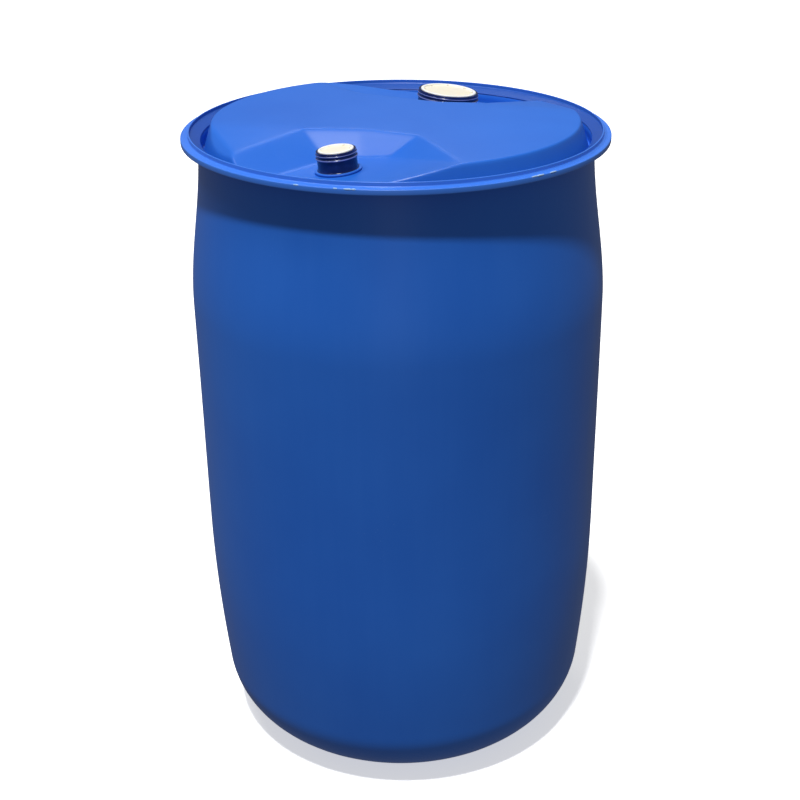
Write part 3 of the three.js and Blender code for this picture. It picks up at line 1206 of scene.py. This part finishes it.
    def hole(self, closure: Closure) -> bpy.types.Object:
        """Makes a round cutter.

        Args:
            closure: the neck whose hole it cuts.

        Returns:
            The cutter in its place.
        """
        radius = closure.spigot_radius + closure.gap
        low, high = -closure.spigot_depth - self.wall, 2 * closure.gap
        outline = [(0.0, low), (radius, low), (radius, high), (0.0, high)]
        cutter = turned(closure.name + "_hole", outline, self.hole_segments)
        return placed(cutter, closure.matrix)

    def pinch_off(self) -> bpy.types.Object:
        """Makes the ridge across the underside of the dish where the mould pinched shut.

        Returns:
            The ridge, sunk a little into the dish.
        """
        section = [(0.0, -1.3), (1.1, -0.9), (1.7, 0.6), (-1.7, 0.6), (-1.1, -0.9)]
        half = self.dish_radius - 8.0
        thinnest, bluntness = 0.2, 8
        rows = []
        for share in np.linspace(-1.0, 1.0, 49):
            fade = max(thinnest, math.sqrt(max(0.0, 1 - share ** bluntness)))
            row = [
                (half * share, across * (0.3 + 0.7 * fade), self.dish_depth + down * fade)
                for across, down in section
            ]
            rows.append(np.array(row))
        ends = [np.array([row.mean(axis=0)]) for row in (rows[0], rows[-1])]
        return grid_object("pinch_off", [ends[0], *rows, ends[1]], loop=False)

    def build(self, material: bpy.types.Material) -> bpy.types.Object:
        """Makes the shell.

        Args:
            material: its finish.

        Returns:
            The finished piece.
        """
        hollow = self.inside()
        holes = [self.hole(closure) for closure in (VENT, FILL)]
        shell = cut(self.outside(), [hollow, *holes])
        shell = joined(shell, [self.pinch_off()])
        return dressed(softened(shell, self.sharp_above), material)


# ---- Carrying ring -------------------------------------------------------------------


@dataclass
class CarryingRing:
    """The ring welded on the rim: an outward flange with an upright lip."""

    waist: float = 268.5
    inner: float = 264.5
    overhang: float = 22.0
    bottom: float = 906.5
    flange: float = 7.2
    top: float = 920.0
    lip_inset: float = 10.0
    lip_width: float = 2.0
    lip_depth: float = 5.0
    channel_dip: float = 0.6
    root_rise: float = 1.0
    rebate: float = 1.0
    gap: float = 0.3
    corner_round: float = 1.1
    steps: int = 360
    slivers: int = 7
    sliver_size: float = 1.5
    sliver_in: float = 0.6
    sliver_down: float = 0.4
    sliver_arcs: tuple[tuple[float, float, int], ...] = ((240.0, 262.0, 3), (303.0, 311.0, 8))

    def section(self) -> Outline:
        """Draws the ring's section with its small edge radii.

        Returns:
            Radius and height of each point.
        """
        edge = self.waist + self.overhang
        flange_top = self.bottom + self.flange
        lip = edge - self.lip_inset
        back = lip - self.lip_width
        corners = [
            (self.inner, self.bottom + self.rebate),
            (self.waist + self.gap, self.bottom + self.rebate),
            (self.waist + self.gap, self.bottom),
            (edge, self.bottom),
            (edge, flange_top),
            (edge - self.lip_inset / 4, flange_top),
            (edge - self.lip_inset / 2, flange_top - self.channel_dip),
            (lip, flange_top + self.root_rise),
            (lip, self.top),
            (back, self.top),
            (back, self.top - self.lip_depth),
            (self.inner, self.bottom + self.rebate + self.root_rise),
        ]
        return rounded(corners, self.corner_round)

    def build(
        self, material: bpy.types.Material, torn: bpy.types.Material,
    ) -> bpy.types.Object:
        """Sweeps the section round the rim and adds the moulding flash.

        Args:
            material: finish of the ring.
            torn: paler finish of the slivers that trimming left.

        Returns:
            The finished ring.
        """
        middle = self.waist
        curve = outline_curve("carrying_ring_round", self.section(), middle)
        values = {"Radius": middle * MM, "Steps": self.steps, "Material": material}
        ring = outward(sweep_recipe().run(curve, values))
        ring = joined(ring, [self.flash(torn, *arc) for arc in self.sliver_arcs])
        return softened(ring)

    def flash(
        self, material: bpy.types.Material, first: float, last: float, seed: int,
    ) -> bpy.types.Object:
        """Makes the small slivers that trimming left on the flange's edge.

        Args:
            material: their finish.
            first: where they start, in degrees from +X.
            last: where they end.
            seed: number that fixes their places and sizes.

        Returns:
            The slivers.
        """
        radius = self.waist + self.overhang - self.sliver_in
        height = self.bottom + self.flange - self.sliver_down
        values = {
            "Count": self.slivers, "Radius": radius * MM,
            "First angle": math.radians(first), "Last angle": math.radians(last),
            "Size": self.sliver_size * MM, "Seed": seed, "Material": material,
        }
        piece = dressed(flash_recipe().run(empty_mesh("flash"), values), material)
        return placed(piece, Matrix.Translation((0, 0, height * MM)))


# ---- Necks, plugs and gaskets --------------------------------------------------------


@dataclass
class Neck:
    """A threaded neck with its weld flange, beads and mouth."""

    closure: Closure
    weld_fillet: float = 1.0
    weld_reach: float = 0.8
    corner_round: float = 0.7
    thread_end: float = 0.2
    thread_fade: tuple[float, float] = (1.5, 1.0)
    bead_turns: tuple[float, ...] = (-0.75, -0.45, 0.0, 0.45, 0.75)
    segments: int = 144
    thread_step: float = 0.5

    def outer(self) -> Outline:
        """Draws the outside from the spigot's foot up to the mouth and down to the seat.

        Returns:
            Radius and height of each point.
        """
        own = self.closure
        flange_top = own.gap + own.flange_thickness
        barrel = own.barrel_radius
        corners = [
            (own.bore_radius, -own.spigot_depth),
            (own.spigot_radius, -own.spigot_depth),
            (own.spigot_radius, own.gap),
            (own.flange_radius, own.gap),
            (own.flange_radius, flange_top),
            (barrel + self.weld_reach, flange_top),
            (barrel, flange_top + self.weld_fillet),
        ]
        for bead in own.beads:
            middle = own.height - bead.drop
            corners.append((barrel, middle - bead.half_width))
            for turn in self.bead_turns:
                bulge = math.cos(turn * math.pi / 2)
                corners.append((barrel + bead.proud * bulge, middle + bead.half_width * turn))
            corners.append((barrel, middle + bead.half_width))
        mouth = own.head_radius + own.gap
        corners += [(barrel, own.height), (mouth, own.height), (mouth, own.seat)]
        corners.append((own.bore_radius, own.seat))
        return rounded(corners, self.corner_round, closed=False)

    def build(self, material: bpy.types.Material) -> bpy.types.Object:
        """Makes the neck and stands it in its pocket.

        Args:
            material: its finish.

        Returns:
            The finished piece.
        """
        own = self.closure
        rows = rings_of(self.outer(), self.segments)
        low = own.seat - own.lead_in - (own.turns + 0.5) * own.pitch
        fade = (low - self.thread_fade[0], low + self.thread_fade[1])
        depth = own.thread_radius + own.thread_clearance - self.thread_end
        height = own.seat - self.thread_step
        while height > self.thread_end - own.spigot_depth:
            share = mouldings(own, height, self.segments)
            ends = float(smooth_step(*fade, np.array(height)))
            rows.append(ring_of(own.bore_radius + depth * share * ends, height, self.segments))
            height -= self.thread_step
        neck = grid_object(own.name + "_neck_round", rows, loop=True)
        return dressed(softened(placed(neck, own.matrix)), material)


@dataclass
class Plug:
    """A hollow screw plug with a raised border and driving lugs in its recess."""

    closure: Closure
    segments: int = 144
    thread_step: float = 0.5
    lug_length: float = 3.5
    lug_width: float = 3.0
    lug_sink: float = 0.6
    lug_extra: float = 0.2
    lug_drop: float = 0.4
    thread_fade: tuple[float, float] = (1.2, 0.8)
    inner_spacing: float = 6.0
    outer_spacing: float = 5.0
    inner_round: float = 1.0
    outer_round: float = 0.8
    recess_draft: float = 0.5
    recess_crown: float = 0.15

    def build(self, material: bpy.types.Material) -> bpy.types.Object:
        """Makes the plug and screws it into its neck.

        Args:
            material: its finish.

        Returns:
            The finished piece.
        """
        own = self.closure
        top = own.head_top
        floor = top - own.recess_depth
        ceiling = floor - own.core_wall
        inside = own.core_radius - own.core_wall
        bottom = own.seat - (own.lead_in + own.turns * own.pitch + own.tail)
        recess = own.head_radius - own.recess_border
        lower = refined(rounded(
            [(0.0, ceiling), (inside, ceiling), (inside, bottom), (own.core_radius, bottom)],
            self.inner_round, closed=False,
        ), self.inner_spacing)
        rows = rings_of(lower, self.segments)
        rows += self.thread_rows(bottom)
        under = top - own.head_thickness
        upper = rounded(
            [
                (own.core_radius, own.seat), (own.core_radius, under),
                (own.head_radius, under), (own.head_radius, top), (recess, top),
                (recess - self.recess_draft, floor), (0.0, floor + self.recess_crown),
            ],
            self.outer_round, 4, closed=False,
        )
        rows += rings_of(refined(upper, self.outer_spacing), self.segments)
        plug = grid_object(own.name + "_plug_round", rows, loop=False)
        plug = joined(plug, [self.lugs(material, recess, floor)])
        return dressed(softened(placed(plug, own.matrix)), material)

    def thread_rows(self, bottom: float) -> list[np.ndarray]:
        """Rings up the core that carry the thread.

        Args:
            bottom: height of the core's lower end.

        Returns:
            The rings between the lower end and the head.
        """
        own = self.closure
        high = own.seat - own.lead_in
        low = high - own.turns * own.pitch
        out, back = self.thread_fade
        rows = []
        height = bottom + self.thread_step
        while height < own.seat - self.thread_step:
            share = mouldings(own, height, self.segments)
            point = np.array(height)
            ends = smooth_step(low - out, low + back, point)
            ends = float(ends * (1 - smooth_step(high - back, high + out, point)))
            radius = own.core_radius + own.thread_radius * share * ends
            rows.append(ring_of(radius, height, self.segments))
            height += self.thread_step
        return rows

    def lugs(
        self, material: bpy.types.Material, recess: float, floor: float,
    ) -> bpy.types.Object:
        """Makes the driving lugs inside the border.

        Args:
            material: their finish.
            recess: radius of the recess.
            floor: height of its floor.

        Returns:
            The lugs.
        """
        own = self.closure
        values = {
            "Count": own.lugs, "Radius": (recess - self.lug_length / 2 + self.lug_sink) * MM,
            "Length": self.lug_length * MM, "Width": self.lug_width * MM,
            "Height": (own.recess_depth + self.lug_extra) * MM, "Start": 0.0,
            "Material": material,
        }
        blocks = lug_recipe().run(empty_mesh(own.name + "_lugs"), values)
        lift = floor + own.recess_depth / 2 - self.lug_drop
        return placed(blocks, Matrix.Translation((0, 0, lift * MM)))


@dataclass
class Gasket:
    """The flat ring gasket under a plug's head."""

    closure: Closure
    side_gap: float = 0.4
    steps: int = 128

    def build(self, material: bpy.types.Material) -> bpy.types.Object:
        """Sweeps the gasket's section round and lays it on the seat.

        Args:
            material: its finish.

        Returns:
            The finished piece.
        """
        own = self.closure
        bottom = own.seat + own.gap
        inner = own.core_radius + self.side_gap
        outer = own.head_radius - self.side_gap
        corners = [
            (inner, bottom), (outer, bottom),
            (outer, bottom + own.gasket_thickness), (inner, bottom + own.gasket_thickness),
        ]
        middle = (inner + outer) / 2
        section = rounded(corners, 0.5, 4)
        curve = outline_curve(own.name + "_plug_gasket_round", section, middle)
        values = {"Radius": middle * MM, "Steps": self.steps, "Material": material}
        gasket = outward(sweep_recipe().run(curve, values))
        return softened(placed(gasket, own.matrix))


# ---- Finishes ------------------------------------------------------------------------


Colour = tuple[float, float, float, float]


@dataclass(frozen=True)
class MouldedBlue:
    """Semi-matt blue polyethylene, as blown or as injected."""

    name: str
    colour: Colour = (0.020, 0.155, 0.67, 1.0)
    deep: Colour = (0.014, 0.128, 0.60, 1.0)
    pale: Colour = (0.045, 0.20, 0.74, 1.0)
    scuff: Colour = (0.15, 0.33, 0.82, 1.0)
    roughness: float = 0.40
    grain: float = 0.10
    flow_lines: float = 1.0
    # Colour, radius and edge blur of painted shade: a darker blue inside the radius, standing in
    # for the shade in the ring's channel between its lip and the head.
    painted_shade: Colour = (0.006, 0.055, 0.32, 1.0)
    painted_shade_radius: float = 0.0
    painted_shade_blur: float = 1.2
    cloud_scale: float = 3.0
    wave_scale: float = 7.0
    peel_scale: float = 260.0
    fine_scale: float = 900.0
    speck_scale: float = 150.0
    flow_stretch: tuple[float, float, float] = (34.0, 34.0, 1.6)
    scratch_stretch: tuple[float, float, float] = (26.0, 26.0, 230.0)
    scratch_turn: tuple[float, float, float] = (0.2, 0.1, 0.0)

    def build(self) -> bpy.types.Material:
        """Makes the material.

        Returns:
            Blue plastic, mottled, streaked, specked and scratched, with painted shade inside a
            given radius when one is set.
        """
        paint = Paint(self.name)
        cloud = paint.noise(self.cloud_scale, 3.0, 0.5)
        flow = paint.noise(1.0, 3.0, 0.6, paint.stretched(self.flow_stretch))
        fine = paint.noise(self.fine_scale, 2.0, 0.5)
        peel = paint.noise(self.peel_scale, 2.0, 0.4)
        speck = paint.cells(self.speck_scale).ramp(0.16, 0.02)
        speck = speck * paint.noise(9.0, 2.0).ramp(0.58, 0.72)
        across = paint.stretched(self.scratch_stretch, self.scratch_turn)
        scratch = paint.noise(1.0, 4.0, 0.6, across)
        scratch = scratch.ramp(0.70, 0.76) * paint.noise(5.0, 2.0).ramp(0.52, 0.68)
        base = paint.mix(cloud.ramp(0.25, 0.75), self.deep, self.colour)
        streak = (flow.ramp(0.35, 0.75) * (0.07 * self.flow_lines)).smaller(1.0)
        base = paint.mix(streak, base, self.pale)
        pale_marks = (scratch * 0.35 + speck * 0.22).smaller(1.0)
        base = paint.mix(pale_marks, base, self.scuff)
        # Painted shade: darker blue inside the radius, where the channel inside the ring's lip
        # lies in shade.
        if self.painted_shade_radius:
            x, y, _ = paint.parts(paint.place)
            outer = (self.painted_shade_radius + self.painted_shade_blur) * MM
            inner = (self.painted_shade_radius - self.painted_shade_blur) * MM
            painted_shade_mask = ((x * x + y * y) ** 0.5).ramp(outer, inner)
            base = paint.mix(painted_shade_mask * (0.72 + cloud * 0.2), base, self.painted_shade)
        rough = self.roughness + (cloud - 0.5) * 0.10 + (flow - 0.5) * 0.08 + pale_marks * 0.15
        bumps = [
            (paint.noise(self.wave_scale, 2.0), 0.10, 0.004),
            (peel, self.grain, 0.0006),
            (fine, self.grain * 0.6, 0.0002),
        ]
        sockets = {
            "Base Color": base, "Roughness": rough, "IOR": 1.45,
            "Specular IOR Level": 0.45,
        }
        return paint.finish(sockets, bumps)


@dataclass(frozen=True)
class NeckNavyPaintedShade:
    """Smooth blue polyethylene of a neck, painted dark navy as painted shade and painted
    reflection, with the head's blue plastic over its flange.
    """

    closure: Closure
    # The navy is painted shade and painted reflection of the dark pocket, over the same blue
    # plastic as the head.
    colour: Colour = (0.0045, 0.011, 0.075, 1.0)
    pale: Colour = (0.010, 0.024, 0.13, 1.0)
    flange: Colour = (0.018, 0.145, 0.64, 1.0)
    # Colour of the painted highlight along the top of each bead.
    pale_crest_and_rim: Colour = (0.20, 0.26, 0.66, 1.0)
    roughness: float = 0.22
    weld_reach: float = 1.2
    weld_blur: float = 0.4

    def build(self) -> bpy.types.Material:
        """Makes the material.

        Returns:
            Navy plastic as painted shade and painted reflection, with painted highlights on the
            bead crests and blue over the flange.
        """
        own = self.closure
        paint = Paint(own.name + "_neck_painted_shade_and_highlight")
        x, y, z = paint.parts(paint.centred(own.matrix))
        radius = (x * x + y * y) ** 0.5
        weld = (own.barrel_radius + self.weld_reach) * MM
        covered = radius.ramp(weld, weld + self.weld_blur * MM)
        covered = covered * z.ramp(own.height * MM / 2, own.height * MM / 3)
        cloud = paint.noise(60.0, 3.0)
        peel = paint.noise(700.0, 2.0)
        base = paint.mix(cloud.ramp(0.3, 0.8), self.colour, self.pale)
        base = paint.mix(covered, base, self.flange)
        # Painted highlight: a pale band along the top of each bead, where light from above
        # catches it.
        for bead in own.beads:
            crest = (own.height - bead.drop + bead.half_width * 0.3) * MM
            reach = bead.half_width * MM
            side = radius.ramp(
                (own.barrel_radius + bead.proud * 0.35) * MM,
                (own.barrel_radius + bead.proud * 0.8) * MM,
            )
            pale_marks = side * z.ramp(crest - reach, crest) * (1 - z.ramp(crest, crest + reach))
            base = paint.mix(pale_marks * (0.45 + cloud * 0.5), base, self.pale_crest_and_rim)
        rough = self.roughness + (cloud - 0.5) * 0.08 + covered * 0.3
        sockets = {"Base Color": base, "Roughness": rough, "IOR": 1.5}
        return paint.finish(sockets, [(peel, 0.08, 0.0003)])


@dataclass(frozen=True)
class NaturalWhite:
    """Unpigmented polyethylene of a plug: creamy and slightly clear, rubbed white on its rim."""

    closure: Closure
    cream: Colour = (0.86, 0.80, 0.66, 1.0)
    pale_crest_and_rim: Colour = (0.93, 0.93, 0.90, 1.0)
    shade: Colour = (0.74, 0.68, 0.54, 1.0)
    roughness: float = 0.40
    border_in: float = 1.2
    border_out: float = 0.4
    gate_outer: float = 2.2
    gate_inner: float = 1.4

    def build(self) -> bpy.types.Material:
        """Makes the material.

        Returns:
            Cream plastic with a whiter border and a gate mark in the middle.
        """
        own = self.closure
        paint = Paint(own.name + "_natural_plug_plastic")
        x, y, _ = paint.parts(paint.centred(own.matrix))
        radius = (x * x + y * y) ** 0.5
        recess = (own.head_radius - own.recess_border) * MM
        border = radius.ramp(recess - self.border_in * MM, recess + self.border_out * MM)
        cloud = paint.noise(45.0, 3.0)
        base = paint.mix(cloud.ramp(0.35, 0.8), self.cream, self.shade)
        base = paint.mix(cloud.ramp(0.2, 0.6) * 0.5 + 0.25, base, self.cream)
        base = paint.mix(border, base, self.pale_crest_and_rim)
        gate = radius.ramp(self.gate_outer * MM, self.gate_inner * MM) * 0.35
        base = paint.mix(gate, base, self.shade)
        rough = self.roughness + (cloud - 0.5) * 0.12 - border * 0.05
        grain = paint.noise(1.0, 2.0, 0.5, paint.stretched((500.0, 500.0, 500.0)))
        sockets = {
            "Base Color": base, "Roughness": rough, "IOR": 1.5,
            "Subsurface Weight": 0.25, "Subsurface Scale": 0.004,
            "Subsurface Radius": (1.0, 0.8, 0.5),
        }
        return paint.finish(sockets, [(grain, 0.10, 0.0003)])


@dataclass(frozen=True)
class BlackRubber:
    """Matt black gasket rubber."""

    name: str = "black_gasket_rubber"
    colour: Colour = (0.010, 0.010, 0.011, 1.0)
    bloom: Colour = (0.045, 0.045, 0.048, 1.0)
    roughness: float = 0.78

    def build(self) -> bpy.types.Material:
        """Makes the material.

        Returns:
            Black rubber with a patchy grey bloom.
        """
        paint = Paint(self.name)
        cloud = paint.noise(120.0, 4.0)
        base = paint.mix(cloud.ramp(0.4, 0.8), self.colour, self.bloom)
        rough = self.roughness + (cloud - 0.5) * 0.2
        sockets = {"Base Color": base, "Roughness": rough}
        return paint.finish(sockets, [(paint.noise(1500.0, 2.0), 0.2, 0.0003)])


# ---- Set -----------------------------------------------------------------------------


class Ground(Enum):
    """The two tones of the floor that the drum stands on."""

    LIGHT = (0.93, 0.93, 0.93, 1.0)
    SHADE = (0.91, 0.91, 0.91, 1.0)


@dataclass(frozen=True)
class Panel:
    """A soft square light: the way it lies from the drum's head, its distance and size."""

    name: str
    bearing: float
    elevation: float
    distance: float
    side: float
    radiance: float

    def build(self, target: Vector) -> None:
        """Hangs the light.

        Args:
            target: the point that it faces.
        """
        bearing, elevation = math.radians(self.bearing), math.radians(self.elevation)
        way = Vector((
            math.cos(elevation) * math.cos(bearing), math.cos(elevation) * math.sin(bearing),
            math.sin(elevation),
        ))
        data = bpy.data.lights.new(self.name, "AREA")
        data.shape = "SQUARE"
        data.size = self.side
        data.energy = math.pi * self.side ** 2 * self.radiance
        lamp = linked(bpy.data.objects.new(self.name, data))
        lamp.location = target + way * self.distance
        lamp.rotation_euler = way.to_track_quat("Z", "Y").to_euler()


@dataclass
class Studio:
    """Camera, soft lights and a plain pale floor."""

    camera_place: tuple[float, float, float] = (0.0, -1.8422, 1.3755)
    camera_pitch: float = 64.702
    camera_yaw: float = -1.943
    lens: float = 61.62
    shift: float = -0.0534
    key_lean: float = 18.0
    key_bearing: float = 252.0
    key_softness: float = 4.0
    key_power: float = 3.0
    fill_strength: float = 0.17
    head_height: float = 0.92
    sensor_width: float = 36.0
    floor_reach: float = 30.0
    floor_glow: float = 0.6
    panels: tuple[Panel, ...] = (
        Panel("side_panel", 180.0, 63.0, 2.6, 0.7, 9.0),
        Panel("back_panel", 92.0, 44.0, 2.4, 0.7, 3.6),
        Panel("low_panel", 268.0, -9.0, 2.6, 0.7, 0.7),
    )

    def camera(self) -> None:
        """Sets the camera at the viewing angle."""
        data = bpy.data.cameras.new("camera")
        data.sensor_width = self.sensor_width
        data.lens = self.lens
        data.shift_x = self.shift
        data.clip_start = 0.05
        obj = linked(bpy.data.objects.new("camera", data))
        obj.location = self.camera_place
        pitch, yaw = math.radians(self.camera_pitch), math.radians(self.camera_yaw)
        obj.rotation_euler = (pitch, 0.0, yaw)
        bpy.context.scene.camera = obj

    def lights(self) -> None:
        """A high key light from the front left, soft panels and an even surround."""
        data = bpy.data.lights.new("key_light", "SUN")
        data.energy = self.key_power
        data.angle = math.radians(self.key_softness)
        key = linked(bpy.data.objects.new("key_light", data))
        lean, bearing = math.radians(self.key_lean), math.radians(self.key_bearing)
        source = Vector((
            math.sin(lean) * math.cos(bearing), math.sin(lean) * math.sin(bearing),
            math.cos(lean),
        ))
        key.location = source * 3.0
        key.rotation_euler = source.to_track_quat("Z", "Y").to_euler()
        for panel in self.panels:
            panel.build(Vector((0.0, 0.0, self.head_height)))
        world = bpy.data.worlds.new("surround")
        world.use_nodes = True
        sky = world.node_tree.nodes["Background"]
        sky.inputs["Color"].default_value = (1.0, 1.0, 1.0, 1.0)
        sky.inputs["Strength"].default_value = self.fill_strength
        bpy.context.scene.world = world

    def floor(self) -> bpy.types.Object:
        """Lays a wide pale floor.

        Returns:
            The floor.
        """
        work = bmesh.new()
        bmesh.ops.create_grid(work, x_segments=1, y_segments=1, size=self.floor_reach)
        mesh = bpy.data.meshes.new("floor")
        work.to_mesh(mesh)
        work.free()
        obj = linked(bpy.data.objects.new("floor", mesh))
        paint = Paint("pale_floor")
        cloud = paint.noise(1.5, 2.0)
        tone = paint.mix(cloud, Ground.LIGHT.value, Ground.SHADE.value)
        sockets = {
            "Base Color": tone, "Roughness": 0.8,
            "Emission Color": tone, "Emission Strength": self.floor_glow,
        }
        dressed(obj, paint.finish(sockets, []))
        obj.visible_diffuse = False
        obj.visible_glossy = False
        return obj


# ---- The whole drum ------------------------------------------------------------------


def main() -> None:
    """Builds every piece in order, says what each one rides on, and sets up the set."""
    logging.basicConfig(level=logging.INFO, format="%(name)s: %(message)s")
    studio = Studio()
    studio.camera()
    studio.lights()
    studio.floor()
    bpy.context.scene.view_settings.view_transform = "Standard"

    blue = MouldedBlue("blue_blown_plastic").build()
    ring = CarryingRing()
    # The ring's blue is lighter than the body's as painted sheen on its flange, and it carries
    # painted shade in the channel inside its lip.
    ring_painted_sheen_and_shade = MouldedBlue(
        "blue_ring_plastic", colour=(0.055, 0.215, 0.80, 1.0), deep=(0.042, 0.185, 0.74, 1.0),
        flow_lines=0.0, roughness=0.34,
        painted_shade_radius=ring.waist + ring.overhang - ring.lip_inset - ring.lip_width,
    ).build()
    torn_blue = MouldedBlue(
        "torn_blue_plastic", colour=(0.48, 0.68, 0.98, 1.0), deep=(0.35, 0.58, 0.95, 1.0),
    ).build()
    rubber = BlackRubber().build()

    body = DrumBody().build(blue)
    enter(body, "drum", "drum_body")
    enter(ring.build(ring_painted_sheen_and_shade, torn_blue), "drum", "carrying_ring")
    for closure in (VENT, FILL):
        neck = Neck(closure).build(NeckNavyPaintedShade(closure).build())
        enter(neck, "drum", closure.name + "_neck")
        plug = Plug(closure).build(NaturalWhite(closure).build())
        enter(plug, closure.name + "_plug", closure.name + "_plug")
        gasket = Gasket(closure).build(rubber)
        enter(gasket, closure.name + "_gasket", closure.name + "_plug_gasket")


def enter(piece: bpy.types.Object, body: str, node: str) -> None:
    """Registers one finished piece.

    Args:
        piece: the visible piece.
        body: the moving body that it rides on.
        node: the frame's solid that it stands for.
    """
    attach(piece, body)
    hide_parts(node)
    LOG.info("%s: %d faces, on %s", piece.name, len(piece.data.polygons), body)


if __name__ == "__main__":
    main()
    bpy.context.view_layer.update()
